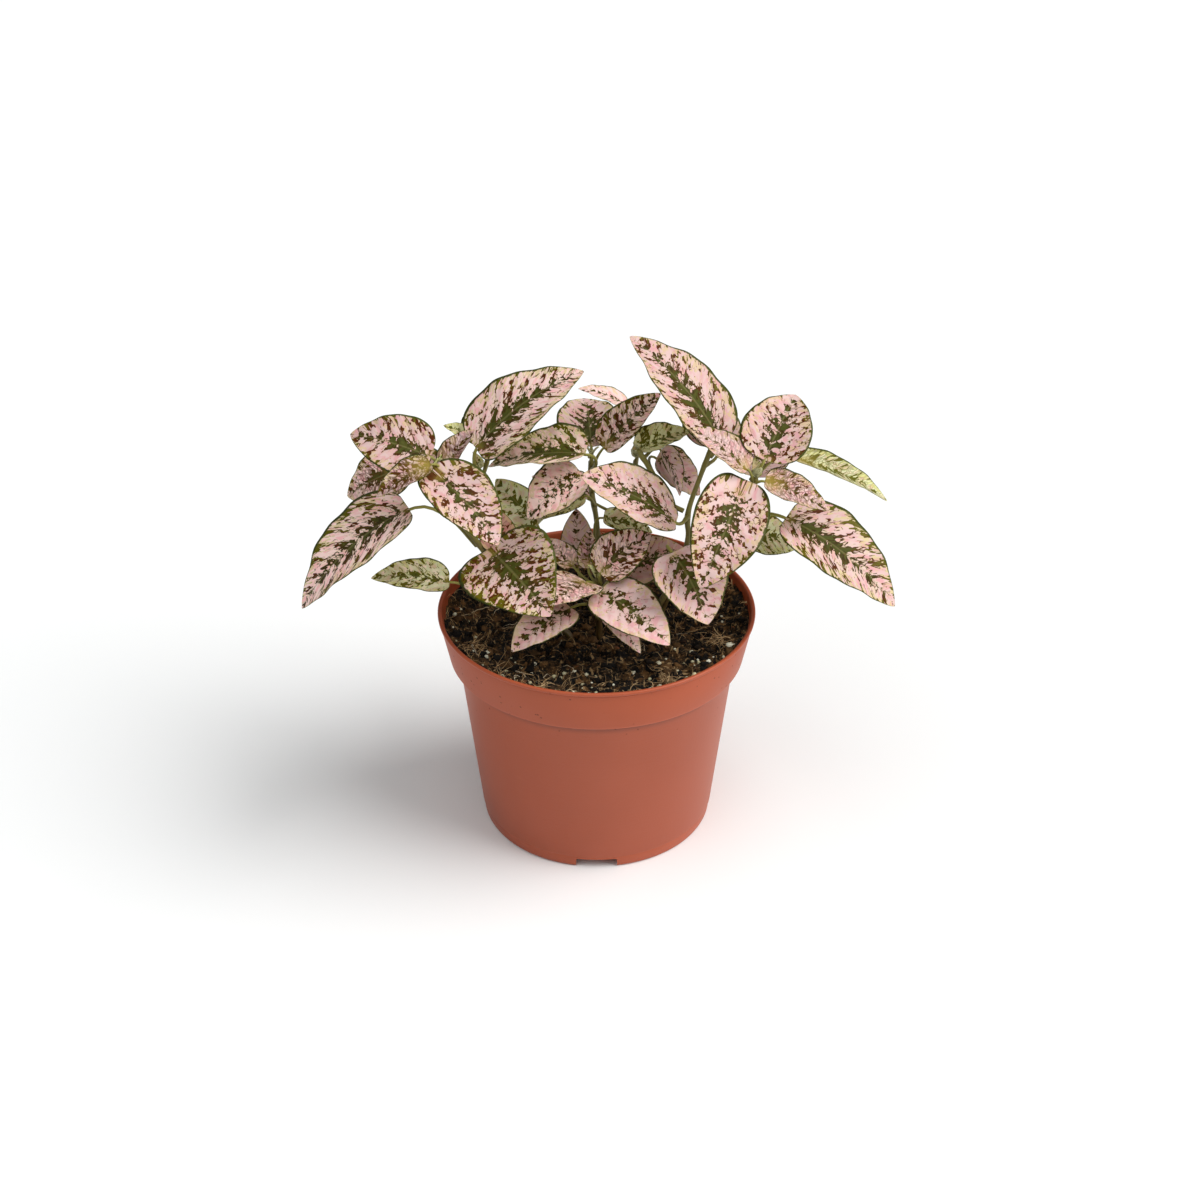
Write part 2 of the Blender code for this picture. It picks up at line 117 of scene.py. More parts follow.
# The leaves of each shoot, in the order of their numbers. Their blush, and for some their
# cover and green, are set partly to paint light and shade: dim leaves paler and less
# marked, shaded ones duskier.
SHOOTS = {
    "left": (
        Look(0.6, 0.5, 0.42),
        Look(0.5, 0.5, 0.2, 0.1, 0.8),
        Look(0.6, 0.2, 0.38, 0.1, 0.9),
        Look(0.5, 0.1, 0.5, net=0.7),
        Look(0.7, 0.35, 0.45, lobe=1.8, drawn=0.45, broad=0.88),
        Look(0.62, 0.4, 0.0, 0.15, drawn=0.9),
        Look(0.5, 0.5, 0.7),
    ),
    "left_back": (
        Look(0.58, 0.6, 0.2, 0.12, drawn=0.8),
        Look(0.5, 0.3, 0.3, 0.8),
        Look(0.5, 0.5, 0.6),
        Look(0.5, 0.5, 0.6),
    ),
    "low_left": (
        Look(0.75, 0.6, 0.4, 0.13, lobe=1.0, drawn=0.5),
        Look(0.6, 0.3, 0.0, 0.62),
        Look(0.4, 0.4, 0.85, broad=1.3),
        Look(0.45, 0.4, 0.0, 0.8, broad=1.15),
    ),
    "crown": (
        Look(0.4, 0.6, 0.3, 0.15, broad=1.3),
        Look(0.65, 0.3, 0.05, 0.1, 0.3, broad=1.1),
        Look(0.55, 0.8, 0.1, 0.45),
        Look(0.25, 0.25, 0.0, drawn=0.3),
        Look(0.6, 0.4, 0.3, 0.8),
        Look(0.5, 0.4, 0.1, 0.9),
    ),
    "middle": (
        Look(0.6, 0.4, 0.3, 0.7, broad=1.25),
        Look(0.4, 0.2, 0.45, broad=1.25),
        Look(0.25, 0.2, 0.5, broad=1.3),
    ),
    "right_inner": (
        Look(0.52, 0.6, 0.42, 0.05),
        Look(0.5, 0.4, 0.6, broad=1.25),
        Look(0.32, 0.55, 0.38, drawn=0.3),
        Look(0.4, 0.5, 0.45, broad=1.2),
    ),
    "right": (
        Look(0.45, 0.1, 0.35, net=0.4),
        Look(0.55, 0.45, 0.36, drawn=0.3),
        Look(0.4, 0.1, 0.35, 0.05, 0.7),
        Look(0.55, 0.4, 0.38, lobe=1.8, drawn=0.3),
        Look(0.58, 0.5, 0.38, 0.15, drawn=0.9),
        Look(0.5, 0.2, 0.05, 0.9, 0.6, drawn=1.0),
        Look(0.5, 0.3, 0.0, 1.0, broad=1.25),
        Look(0.5, 0.5, 0.5),
        Look(0.5, 0.5, 0.5),
    ),
    "front": (
        Look(0.25, 0.1, 0.5, broad=1.2),
        Look(0.5, 0.1, 0.1, 0.1, 0.5, broad=1.15),
        Look(0.25, 0.3, 0.7, broad=1.2),
        Look(0.72, 0.3, 0.18, net=0.3, broad=1.2),
        Look(0.4, 0.1, 0.5, 0.1, 0.6, broad=1.2),
        Look(0.45, 0.1, 0.15, net=0.5, broad=1.15),
        Look(0.0, 0.25, 0.3, drawn=0.3),
        Look(0.04, 0.3, 0.34, drawn=0.3),
        Look(0.3, 0.1, 0.2),
    ),
    "back": (
        Look(0.25, 0.1, 0.2),
        Look(0.5, 0.5, 0.4),
        Look(0.5, 0.5, 0.4),
    ),
}
LEAVES = [
    (shoot, f"leaf_{shoot}_{number}", look)
    for shoot, looks in SHOOTS.items()
    for number, look in enumerate(looks, 1)
]


# Settings


def colour(red, green, blue):
    """A colour given as screen values from 0 to 255, as Blender's linear ones."""
    return tuple((c / 255) ** 2.2 for c in (red, green, blue))


def tint(name, description, value):
    return FloatVectorProperty(
        name=name, description=description, subtype="COLOR", min=0, max=1, default=value
    )


def size(name, description, value):
    return FloatProperty(
        name=name, description=description, unit="LENGTH", min=0, precision=4, default=value
    )


def count(name, description, value):
    return IntProperty(name=name, description=description, min=0, default=value)


class PlantLeafSettings(bpy.types.PropertyGroup):
    thickness: size("Thickness", "Thickness at the middle of a blade", 0.36 * MM)
    wave: size("Wave", "How far a grown leaf's margins rise and fall", 0.45 * MM)
    quilt: size("Quilt", "How far the blade swells between its side veins", 0.13 * MM)
    stalk_radius: size("Stalk radius", "Radius of a stalk where it leaves the stem", 0.85 * MM)
    # The pale, pink and dusky grounds are the leaves' own tones with painted light and shade in
    # them: leaves that the lamps leave dim lean to pale, leaves in shade low in the plant to
    # dusky.
    pale: tint("Pale", "Ground of the palest leaves", colour(252, 217, 209))
    pink: tint("Pink", "Ground of a grown leaf", colour(205, 175, 171))
    # Painted shade: dusky is partly the darkening of leaves that lie in shade low in the plant.
    dusky: tint("Dusky", "Ground of the leaves low in the plant", colour(166, 118, 98))
    cream: tint("Cream", "Between the flecks and near the margins", colour(212, 194, 134))
    lime: tint("Lime", "Ground of the greenest leaves", colour(196, 188, 90))
    green: tint("Green", "The zone along the midrib", colour(58, 46, 4))
    brown: tint("Brown", "Flecks out on the blade", colour(80, 40, 6))


class PlantStemSettings(bpy.types.PropertyGroup):
    swelling: FloatProperty(
        name="Swelling",
        description="How much thicker a stem is where its leaves grow",
        subtype="FACTOR",
        min=0,
        max=1,
        default=0.35,
    )
    green: tint("Green", "Young stems", colour(116, 108, 46))
    brown: tint("Brown", "Older stems and nodes", colour(84, 62, 34))


class PlantSoilSettings(bpy.types.PropertyGroup):
    lumps: size("Lumps", "How far the soil's top rises and falls", 2.2 * MM)
    crumbs: count("Crumbs", "Loose lumps of peat", 1300)
    grains: count("Grains", "White mineral grains", 120)
    fibres: count("Fibres", "Loose plant fibres", 620)
    tufts: count("Tufts", "Tufts of fibre, mostly near the wall", 34)
    roots: count("Roots", "Pale root threads", 22)
    chips: count("Bark chips", "Flat splinters of bark", 90)
    peat: tint("Peat", "Clumps of the soil", colour(98, 70, 42))


class PlantPotSettings(bpy.types.PropertyGroup):
    wall: size("Wall", "Thickness of the pot's wall", 1.1 * MM)
    lip: size("Lip", "How far the bead on the rim stands out", 0.65 * MM)
    collar_foot_height: size("Collar foot", "Height of the collar's lower edge", 71.9 * MM)
    collar_foot_radius: size("Collar radius", "Radius at the collar's lower edge", 56.2 * MM)
    body_top_radius: size("Body radius", "Radius of the body under the collar", 52.8 * MM)
    foot_radius: size("Foot radius", "Radius of the foot", 44.6 * MM)
    floor_height: size("Floor height", "Height of the floor's underside", 4.2 * MM)
    floor_thickness: size("Floor", "Thickness of the floor", 1.6 * MM)
    terracotta: tint("Terracotta", "Colour of the plastic", colour(162, 74, 41))


class PlantStageSettings(bpy.types.PropertyGroup):
    camera_rise: FloatProperty(
        name="Camera rise",
        description="Angle of the camera above level",
        subtype="ANGLE",
        default=math.radians(31.4),
    )
    camera_distance: size("Camera distance", "From the camera to what it looks at", 0.8)
    lens: FloatProperty(name="Lens", description="Focal length in mm", min=1, default=63.6)
    floor: tint("Floor", "Colour of the floor", (0.9, 0.9, 0.9))


# Shaders


class Value:
    """One shader socket, on which Python's arithmetic adds Math nodes."""

    def __init__(self, finish, socket):
        self.finish = finish
        self.socket = socket

    def __add__(self, other):
        return self.finish.math("ADD", self, other)

    def __sub__(self, other):
        return self.finish.math("SUBTRACT", self, other)

    def __rsub__(self, other):
        return self.finish.math("SUBTRACT", other, self)

    def __mul__(self, other):
        return self.finish.math("MULTIPLY", self, other)

    def __truediv__(self, other):
        return self.finish.math("DIVIDE", self, other)

    def __abs__(self):
        return self.finish.math("ABSOLUTE", self)

    __radd__ = __add__
    __rmul__ = __mul__

    def step(self, low, high):
        """0 below low, 1 above high and smooth between."""
        settings = {"interpolation_type": "SMOOTHSTEP"}
        return self.finish.node("MapRange", settings, {0: self, 1: low, 2: high})


class Finish:
    """A material being made: a Principled shader and the nodes that feed it."""

    def __init__(self, name, **constants):
        self.material = bpy.data.materials.new(name)
        self.material.use_nodes = True
        self.tree = self.material.node_tree
        self.shader = self.tree.nodes["Principled BSDF"]
        self.feed(self.shader, constants)

    def feed(self, node, inputs):
        for key, value in inputs.items():
            socket = node.inputs[key.replace("_", " ") if isinstance(key, str) else key]
            if isinstance(value, Value):
                self.tree.links.new(value.socket, socket)
            elif socket.type == "RGBA":
                socket.default_value = (*value, 1.0)
            else:
                socket.default_value = value

    def done(self, **inputs):
        self.feed(self.shader, inputs)
        return self.material

    def node(self, kind, settings, inputs, output=0):
        made = self.tree.nodes.new("ShaderNode" + kind)
        for key, value in settings.items():
            setattr(made, key, value)
        self.feed(made, inputs)
        return Value(self, made.outputs[output])

    def math(self, operation, *values):
        return self.node("Math", {"operation": operation}, dict(enumerate(values)))

    def largest(self, a, b):
        return self.math("MAXIMUM", a, b)

    def mix(self, factor, a, b, blend="MIX"):
        settings = {"data_type": "RGBA", "blend_type": blend}
        return self.node("Mix", settings, {0: factor, 6: a, 7: b}, output=2)

    def coats(self, base, *coats):
        """A base colour under coats in their order, each given as a mask and a colour."""
        for mask, tone in coats:
            base = self.mix(mask, base, tone)
        return base

    def scaled(self, vector, x, y, z=1.0):
        return self.node("VectorMath", {"operation": "MULTIPLY"}, {0: vector, 1: (x, y, z)})

    def moved(self, vector, other):
        return self.node("VectorMath", {"operation": "ADD"}, {0: vector, 1: other})

    def joined(self, x, y, z):
        return self.node("CombineXYZ", {}, {0: x, 1: y, 2: z})

    def parts(self, vector):
        split = self.node("SeparateXYZ", {}, {0: vector}).socket.node
        return [Value(self, socket) for socket in split.outputs]

    def attribute(self, name):
        return self.node("Attribute", {"attribute_name": name}, {}, "Vector")

    def numbers(self, name):
        """The three numbers that an attribute holds."""
        return self.parts(self.attribute(name))

    def place(self):
        return self.node("TexCoord", {}, {}, "Object")

    def noise(self, vector, scale=1.0, detail=2.0, rough=0.5, output="Fac"):
        inputs = {"Vector": vector, "Scale": scale, "Detail": detail, "Roughness": rough}
        return self.node("TexNoise", {}, inputs, output)

    def cells(self, vector, scale=1.0, feature="F1", output="Distance"):
        settings = {"feature": feature}
        return self.node("TexVoronoi", settings, {"Vector": vector, "Scale": scale}, output)

    def patches(self, vector):
        """Where the cell of each point has its middle, and three random numbers for it."""
        found = self.cells(vector, output="Position")
        return found, self.parts(Value(self, found.socket.node.outputs["Color"]))

    def bump(self, height, distance, strength):
        inputs = {"Height": height, "Distance": distance, "Strength": strength}
        return self.node("Bump", {}, inputs)


PATCH = (1.1, 1.02)  # patches of pigment in a millimetre along and across a blade
WEB = (0.72, 0.5)  # pale cells in a millimetre along and across a blade
VEINLETS = (0.85, 0.65)  # meshes of the finest veins in a millimetre

# t, edge: shares of the blade's length and half width. out: that of the half width at the
# middle of a point's patch. wide: slow noise. field: over 0 where the blade is dark.
# heart: over 0 in the zone along the midrib. shade: random for each patch. line: 0 on a
# side vein and 1 midway between two. spot: where the point is in the stirred pattern.
Pattern = namedtuple("Pattern", "t edge out wide field heart shade line spot")


def leaf_pattern(finish):
    """Numbers over a blade that both of its faces are coloured by."""
    t, s, half = finish.numbers("place")
    cover, core, pace = finish.numbers("habit")
    x, y, seed = finish.numbers("veins")
    swept, drawn, _ = finish.numbers("bent")

    squeeze = 1.15 - drawn * 0.5
    spot = finish.joined(x - swept * drawn, y * squeeze, seed)
    stir = finish.noise(spot, 0.3, 2.0, 0.6, "Color")
    stir = finish.scaled(finish.moved(stir, (-0.5, -0.5, -0.5)), 2.6, 2.6, 0.0)
    spot = finish.moved(spot, stir)
    middle, (chance, shade, _) = finish.patches(finish.scaled(spot, *PATCH))
    along, across, _ = finish.parts(middle)
    out = abs(across) * (1 / PATCH[1]) / (finish.largest(half, 0.3) * squeeze)

    def from_vein(distance):
        return finish.math("PINGPONG", distance * pace, 0.5) * 2

    line = from_vein(x - swept)
    ridge = from_vein(along * (1 / PATCH[0]) - swept * (1 - drawn))
    clump = finish.noise(finish.scaled(middle, 0.44, 0.38), detail=1.5)
    wide = finish.noise(finish.scaled(middle, 0.13, 0.13), detail=1.0)
    marks = (1 - ridge) * (0.12 + drawn * 0.2) + (clump - 0.5) * 2.2
    marks = marks + (wide - 0.5) * 0.9 + chance * 0.22
    marks = marks + cover * 0.8 - 0.87 - drawn * 0.09 + out.step(0.65, 0.98) * 0.14
    reach = core * t.step(-0.08, 0.14) * (1 - t.step(0.3, 0.9)) * 0.55
    heart = reach - out + (clump - 0.5) * 1.5 + (wide - 0.5) * 0.4
    heart = heart + (chance - 0.5) * 0.2 - ridge * 0.36 + 0.17

    web = finish.cells(finish.scaled(spot, *WEB), feature="DISTANCE_TO_EDGE")
    either = finish.largest(marks, heart)
    strings = finish.largest(marks, heart * 0.8) * 0.55 + 0.1 - web
    islands = either * 1.3 + 0.3 - web
    field = finish.math("MINIMUM", finish.largest(either, strings), islands)
    return Pattern(t, abs(s), out, wide, field, heart, shade, line, spot)


def leaf_upper(leaf):
    """Upper face of a leaf: patches of pigment that cluster on the side veins."""
    finish = Finish("leaf_upper", Specular_IOR_Level=0.12)
    t, edge, out, wide, field, heart, shade, line, spot = leaf_pattern(finish)
    blush, lime, net = finish.numbers("tone")
    cloud = finish.noise(spot, 0.35)

    # The ground runs from pale through pink to dusky as blush rises. The dusky end is partly
    # painted shade on leaves low in the plant, and a low blush on leaves that the lamps leave
    # dim is partly painted light.
    ground = finish.coats(
        leaf.pale,
        (blush.step(0.0, 0.5), leaf.pink),
        (blush.step(0.5, 1.0), leaf.dusky),
        (
            (lime * 1.5 + cloud - 1.1).step(0.0, 0.35),
            finish.mix(blush, colour(208, 210, 170), leaf.lime),
        ),
    )
    cell, _, _ = finish.parts(finish.cells(finish.scaled(spot, *WEB), output="Color"))
    rosy = (cell * 0.7 + (cloud - 0.5) * 2.0).step(0.1, 0.9)
    flushed = finish.mix(1.0, ground, colour(250, 202, 214), "MULTIPLY")
    creamy = (out + (shade - 0.5) * 0.6 + t * 0.15 + (wide - 0.5) * 0.7).step(0.84, 0.9)
    near_marks = field.step(-0.12, -0.08)
    cream = finish.coats(
        leaf.cream,
        (blush * 0.6, leaf.dusky),
        (lime.step(0.0, 0.3), colour(200, 202, 112)),
    )
    ground = finish.coats(
        ground,
        (rosy * 0.75, flushed),
        (finish.largest(creamy * 0.6, near_marks * 0.3), cream),
        # Painted shade: the ground is a little darker along the sunken side veins.
        ((1 - line) * 0.07, colour(176, 120, 96)),
    )

    moss = colour(92, 92, 14)
    mossy = (out + (shade - 0.5) * 0.5 + t * 0.2 + lime * 1.5).step(0.85, 1.1)
    deep = finish.coats(
        leaf.green,
        (out.step(0.12, 0.5), leaf.brown),
        (mossy * 0.8, moss),
        (shade.step(0.6, 1.0) * 0.25, colour(122, 98, 42)),
        (heart.step(0.1, 0.28) * 0.6, colour(76, 84, 34)),
    )
    threads = (1 - line.step(0.05, 0.13)) * wide.step(0.52, 0.58)
    threads = threads * (1 - out.step(0.5, 0.9)) * 0.7
    dark = finish.largest(field.step(-0.015, 0.015), threads)

    veinlets = finish.cells(finish.scaled(spot, *VEINLETS), feature="DISTANCE_TO_EDGE")
    fade = 1 - (t + out * 0.3).step(0.5, 1.25) * 0.8
    foot = (1 - t.step(0.0, 0.06 + net * 0.5)) * (1 - edge.step(0.2, 0.7 + net * 0.6))
    midrib = 1 - edge.step(0.012, 0.04)
    rim = (edge + (shade - 0.5) * 0.03).step(0.925, 0.95)
    skin = finish.coats(
        ground,
        (dark, deep),
        ((1 - veinlets.step(0.06, 0.18)) * fade * net, finish.mix(lime, leaf.brown, moss)),
        (foot * (net * 0.4 + 0.35), colour(170, 148, 70)),
        (midrib * 0.25, colour(150, 140, 92)),
        (rim * 0.95, colour(70, 76, 30)),
    )
    height = line.step(0.0, 0.6) * 0.5 + cloud * 0.5 - midrib * 0.8 - dark * 0.1
    return finish.done(
        Base_Color=skin,
        Roughness=0.44 + cloud * 0.16,
        Normal=finish.bump(height, 0.4 * MM, 0.45),
    )


def leaf_under():
    """Underside: a pale ghost of the upper face's pattern, with raised veins."""
    finish = Finish("leaf_under", Specular_IOR_Level=0.25)
    marks = leaf_pattern(finish)
    blush, lime, _ = finish.numbers("tone")
    skin = finish.coats(
        colour(214, 190, 168),
        # Duskier with blush: the leaf's own tone, and painted shade on leaves low in the plant.
        (blush.step(0.3, 1.0), colour(164, 128, 102)),
        (lime, colour(196, 196, 146)),
        (marks.field.step(-0.05, 0.05) * 0.75, colour(112, 112, 76)),
        ((1 - marks.line.step(0.06, 0.2)) * 0.4, colour(170, 170, 112)),
        (marks.edge.step(0.94, 0.98) * 0.7, colour(98, 98, 50)),
    )
    return finish.done(
        Base_Color=skin,
        Roughness=0.6 + marks.shade * 0.12,
        Normal=finish.bump(1 - marks.line.step(0.0, 0.4), 0.5 * MM, 0.6),
    )


def stalk_finish(stems):
    """Leaf stalks and midribs, which start as green as the stems."""
    finish = Finish("stalk", Roughness=0.5)
    t, _, _ = finish.numbers("place")
    grain = finish.noise(finish.scaled(finish.attribute("veins"), 0.3, 4.0))
    light = (t + (grain - 0.5) * 0.8).step(-0.9, -0.1)
    skin = finish.mix(light, stems.green, colour(140, 134, 60))
    return finish.done(Base_Color=skin, Normal=finish.bump(grain, 0.2 * MM, 0.6))


def stem_finish(stems):
    """Ridged green stems, browner low down and round the nodes."""
    finish = Finish("stem", Roughness=0.5)
    rise, node, _ = finish.numbers("place")
    streak = finish.noise(finish.scaled(finish.attribute("veins"), 2.2, 0.25), detail=3.0)
    patch = finish.noise(finish.place(), 160.0)
    age = (1 - rise.step(0.0, 0.9)) * 0.8 + node * 0.1 + (patch - 0.5) * 0.9
    skin = finish.coats(
        stems.green,
        (age.step(0.0, 0.9), stems.brown),
        (streak.step(0.5, 0.75) * 0.5, colour(140, 130, 66)),
    )
    return finish.done(Base_Color=skin, Normal=finish.bump(streak, 0.4 * MM, 0.7))


def peat_finish(peat):
    """Damp peat: near black between the clumps, brown fibres on them."""
    finish = Finish("peat", Roughness=0.9, Specular_IOR_Level=0.25)
    place = finish.place()
    clump = finish.noise(place, 190.0, 5.0, 0.65)
    grit = finish.noise(place, 900.0, 3.0, 0.7)
    strand = finish.noise(finish.scaled(place, 900.0, 150.0, 500.0))
    cross = finish.noise(finish.scaled(place, 170.0, 800.0, 500.0))
    hair = finish.largest(strand, cross).step(0.62, 0.7)
    skin = finish.coats(
        colour(12, 8, 5),
        (clump.step(0.45, 0.68), peat),
        (grit.step(0.54, 0.7) * 0.8, colour(150, 116, 74)),
        (hair * 0.7, colour(190, 156, 112)),
    )
    return finish.done(
        Base_Color=skin,
        Roughness=0.6 + clump.step(0.3, 0.6) * 0.35,
        Normal=finish.bump(clump + grit * 0.5, 1.5 * MM, 0.9),
    )


def litter_finish(name, dark, light, roughness):
    """Loose bits, each with its own shade between two colours."""
    finish = Finish(name, Roughness=roughness, Specular_IOR_Level=0.3)
    shade, _, _ = finish.numbers("shade")
    spots = finish.noise(finish.place(), 1400.0, 3.0)
    skin = finish.mix((shade + (spots - 0.5) * 0.5).step(0.0, 1.0), dark, light)
    return finish.done(Base_Color=skin, Normal=finish.bump(spots, 0.3 * MM, 0.5))


def pot_finish(terracotta, shelf):
    """Matt moulded plastic with fine scuffs and splashes of soil, with a painted highlight
    along the collar's lower edge and painted shade on the body just under it.
    """
    finish = Finish("pot_plastic", Roughness=0.5, Specular_IOR_Level=0.45)
    place = finish.place()
    _, _, height = finish.parts(place)

    def band(start, full, waning, end):
        """1 from full to waning and 0 outside start and end, in mm over the collar's foot."""
        rising = height.step(shelf + start * MM, shelf + full * MM)
        return rising * (1 - height.step(shelf + waning * MM, shelf + end * MM))

    cloud = finish.noise(place, 18.0, 3.0)
    pebble = finish.noise(place, 2600.0)
    scuff = finish.noise(finish.scaled(place, 60.0, 60.0, 900.0), 1.0, 4.0, 0.7)
    specks = 1 - finish.cells(place, 330.0).step(0.08, 0.16)
    dirt = specks * finish.noise(place, 70.0).step(0.5, 0.58) * height.step(45 * MM, 85 * MM)
    # worn: lighter plastic, for real wear and scuffs and also for the painted highlight along
    # the collar's lower edge.
    worn_and_highlight = tuple(min(1.0, c * 1.25 + 0.03) for c in terracotta)
    skin = finish.coats(
        terracotta,
        (cloud.step(0.35, 0.7) * 0.25, worn_and_highlight),
        (scuff.step(0.64, 0.8) * 0.25, worn_and_highlight),
        # Painted highlight: a lighter line along the collar's lower edge, where light catches
        # it.
        (band(-0.2, 0.0, 0.0, 1.1) * 0.8, worn_and_highlight),
        # Painted shade: the body just under the collar's overhang is darkened, where shade
        # falls.
        (band(-5.0, -1.8, -0.4, 0.0) * 0.55, colour(96, 46, 30)),
        (dirt * 0.75, colour(62, 38, 26)),
    )
    return finish.done(
        Base_Color=skin,
        Roughness=0.4 + cloud * 0.12 + dirt * 0.3,
        Normal=finish.bump(pebble * 0.4 + scuff * 0.3 + dirt, 0.2 * MM, 0.35),
    )


def floor_finish(floor):
    finish = Finish("studio_floor", Roughness=0.7, Specular_IOR_Level=0.2)
    shade = tuple(0.985 * c for c in floor)
    return finish.done(Base_Color=finish.mix(finish.noise(finish.place(), 3.0), floor, shade))


# Meshes


def mesh_of(name, bm):
    """A mesh from a bmesh, which is freed."""
    mesh = bpy.data.meshes.new(name)
    bm.to_mesh(mesh)
    bm.free()
    return mesh


def added(name, data):
    """A new object in the scene."""
    obj = bpy.data.objects.new(name, data)
    bpy.context.scene.collection.objects.link(obj)
    return obj


def piece(name, bm, materials, stands_for=()):
    """A finished object of the plant from a bmesh."""
    mesh = mesh_of(name, bm)
    mesh.shade_smooth()
    for material in materials:
        mesh.materials.append(material)
    obj = added(name, mesh)
    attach(obj, BODY)
    if stands_for:
        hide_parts(*stands_for)
    return obj


def layers(bm):
    """The vertex attributes that the plant's materials read.

    On a blade, veins holds millimetres along the midrib and across it, and a seed; bent
    the millimetres by which the side vein of a point starts further back, and how drawn
    out the flecks are; place the shares of the length and the half width, and the half
    width in millimetres; habit how the leaf is marked, and tone its colours.
    """
    return [
        bm.verts.layers.float_vector.get(name) or bm.verts.layers.float_vector.new(name)
        for name in ("veins", "place", "habit", "tone", "bent")
    ]


def sleeve(bm, rows, sides, put, slot=lambda share: 0):
    """A closed tube of faces: put(vert, row, step) places each vertex and slot(share)
    gives the material of the faces that far round."""
    grid = bmesh.ops.create_grid(bm, x_segments=rows - 1, y_segments=sides, size=0.5)
    verts = grid["verts"]
    for face in {face for vert in verts for face in vert.link_faces}:
        face.material_index = slot(face.calc_center_median().y + 0.5)
    for vert in verts:
        row = round((vert.co.x + 0.5) * (rows - 1))
        step = round((vert.co.y + 0.5) * sides)
        put(vert, row, step % sides)
    bmesh.ops.remove_doubles(bm, verts=verts, dist=0.1 * WELD)
    edges = {edge for vert in verts if vert.is_valid for edge in vert.link_edges}
    bmesh.ops.holes_fill(bm, edges=[edge for edge in edges if edge.is_boundary], sides=0)


def on_ring(centre, across, up, angle, radius):
    return centre + (across * math.cos(angle) + up * math.sin(angle)) * radius


def heading_at(line, row):
    """The direction of a line of points at one of them."""
    return (line[min(row + 1, len(line) - 1)] - line[max(row - 1, 0)]).normalized()


def mean(points):
    return sum(points, Vector()) / len(points)


def shares(points):
    """How far along a line of points each one is, from 0 to 1, and the line's length."""
    lengths = [0.0]
    for a, b in zip(points, points[1:]):
        lengths.append(lengths[-1] + (b - a).length)
    return [length / lengths[-1] for length in lengths], lengths[-1]


class Track:
    """A smooth curve through values at rising knots."""

    def __init__(self, knots, values):
        self.knots = knots
        self.values = values
        spans = [
            (v1 - v0) / (k1 - k0)
            for k0, k1, v0, v1 in zip(knots, knots[1:], values, values[1:])
        ]
        inner = [(a + b) / 2 for a, b in zip(spans, spans[1:])]
        self.slopes = [spans[0], *inner, spans[-1]]

    def at(self, t):
        last = len(self.knots) - 2
        i = next((i for i in range(last) if t < self.knots[i + 1]), last)
        width = self.knots[i + 1] - self.knots[i]
        u = (t - self.knots[i]) / width
        return (
            self.values[i] * (1 + 2 * u) * (1 - u) ** 2
            + self.slopes[i] * width * u * (1 - u) ** 2
            + self.values[i + 1] * u * u * (3 - 2 * u)
            - self.slopes[i + 1] * width * u * u * (1 - u)
        )


# Reading the solids


def walk(first):
    """The rings of vertices met step by step along the edges from the first ones."""
    seen, ring, rings = set(first), set(first), []
    while ring:
        rings.append(sorted(ring, key=lambda vert: vert.index))
        ring = {edge.other_vert(vert) for vert in ring for edge in vert.link_edges} - seen
        seen |= ring
    return rings


def end_cap(vert):
    """The vertices of the flat end face that a vertex is on."""
    outward = vert.co - mean([other.co for other in walk([vert])[4]])
    first = max(vert.link_faces, key=lambda face: face.normal.dot(outward))
    cap, unread = {first}, [first]
    while unread:
        for edge in unread.pop().edges:
            for other in edge.link_faces:
                if other not in cap and other.normal.dot(first.normal) > 0.8:
                    cap.add(other)
                    unread.append(other)
    return {vert for face in cap for vert in face.verts}


def rings_of(node, distance):
    """The points of a long solid's cross-sections, from the end at the least distance.
    They are read from a copy of its loose triangles, joined up."""
    bm = bmesh.new()
    bm.from_mesh(NODES[node].data)
    bmesh.ops.remove_doubles(bm, verts=bm.verts, dist=WELD)
    bm.verts.index_update()
    bm.normal_update()
    one = walk([min(bm.verts, key=lambda vert: vert.index)])[-1][0]
    foot = min(one, walk([one])[-1][0], key=lambda vert: distance(vert.co))
    rings = [[vert.co.copy() for vert in ring] for ring in walk(end_cap(foot))]
    bm.free()
    return rings


Section = namedtuple("Section", "left middle right")


def section(points, side):
    """Margins and middle of a blade's cross-section, ordered along a rough side vector."""
    pairs = [(p, q) for p in points for q in points]
    a, b = max(pairs, key=lambda pair: (pair[0] - pair[1]).length)
    across = (a - b).normalized()
    if across.dot(side) < 0:
        across.negate()
    order = sorted(points, key=across.dot)
    half = len(order) // 2
    left, middle, right = order[-2:], order[half - 1 : half + 1], order[:2]
    return Section(mean(left), mean(middle), mean(right)), across


def leaf_sections(shoot, node):
    """A leaf's stalk as points and its blade as sections, from the foot to the tip."""
    stem = [vert.co for vert in NODES["stem_" + shoot].data.vertices]
    rings = rings_of(node, lambda point: min((point - other).length for other in stem))
    if [len(ring) for ring in rings] != [POINTS_IN_SECTION] * LEAF_SECTIONS:
        raise RuntimeError(f"{node} doesn't have the sections of a leaf")
    stalk = [mean(ring) for ring in rings[: STALK_SECTIONS + 1]]
    base, tip = stalk[-1], mean(rings[-1])
    blade, side = [], Vector()
    for ring in rings[STALK_SECTIONS + 1 : -1]:
        found, side = section(ring, side)
        blade.append(found)
    up = sum((mean([s.left, s.right]) - s.middle for s in blade), Vector())
    if (tip - base).cross(blade[2].left - blade[2].right).dot(up) < 0:
        blade = [Section(s.right, s.middle, s.left) for s in blade]
    return stalk, [Section(base, base, base), *blade, Section(tip, tip, tip)]


def stem_line(node):
    """Centres and radii of a stem's cross-sections, from its foot up."""
    rings = rings_of(node, lambda point: point.z)
    centres = [mean(ring) for ring in rings]
    radii = [sum((p - c).length for p in ring) / len(ring) for c, ring in zip(centres, rings)]
    return centres, radii


# Leaves


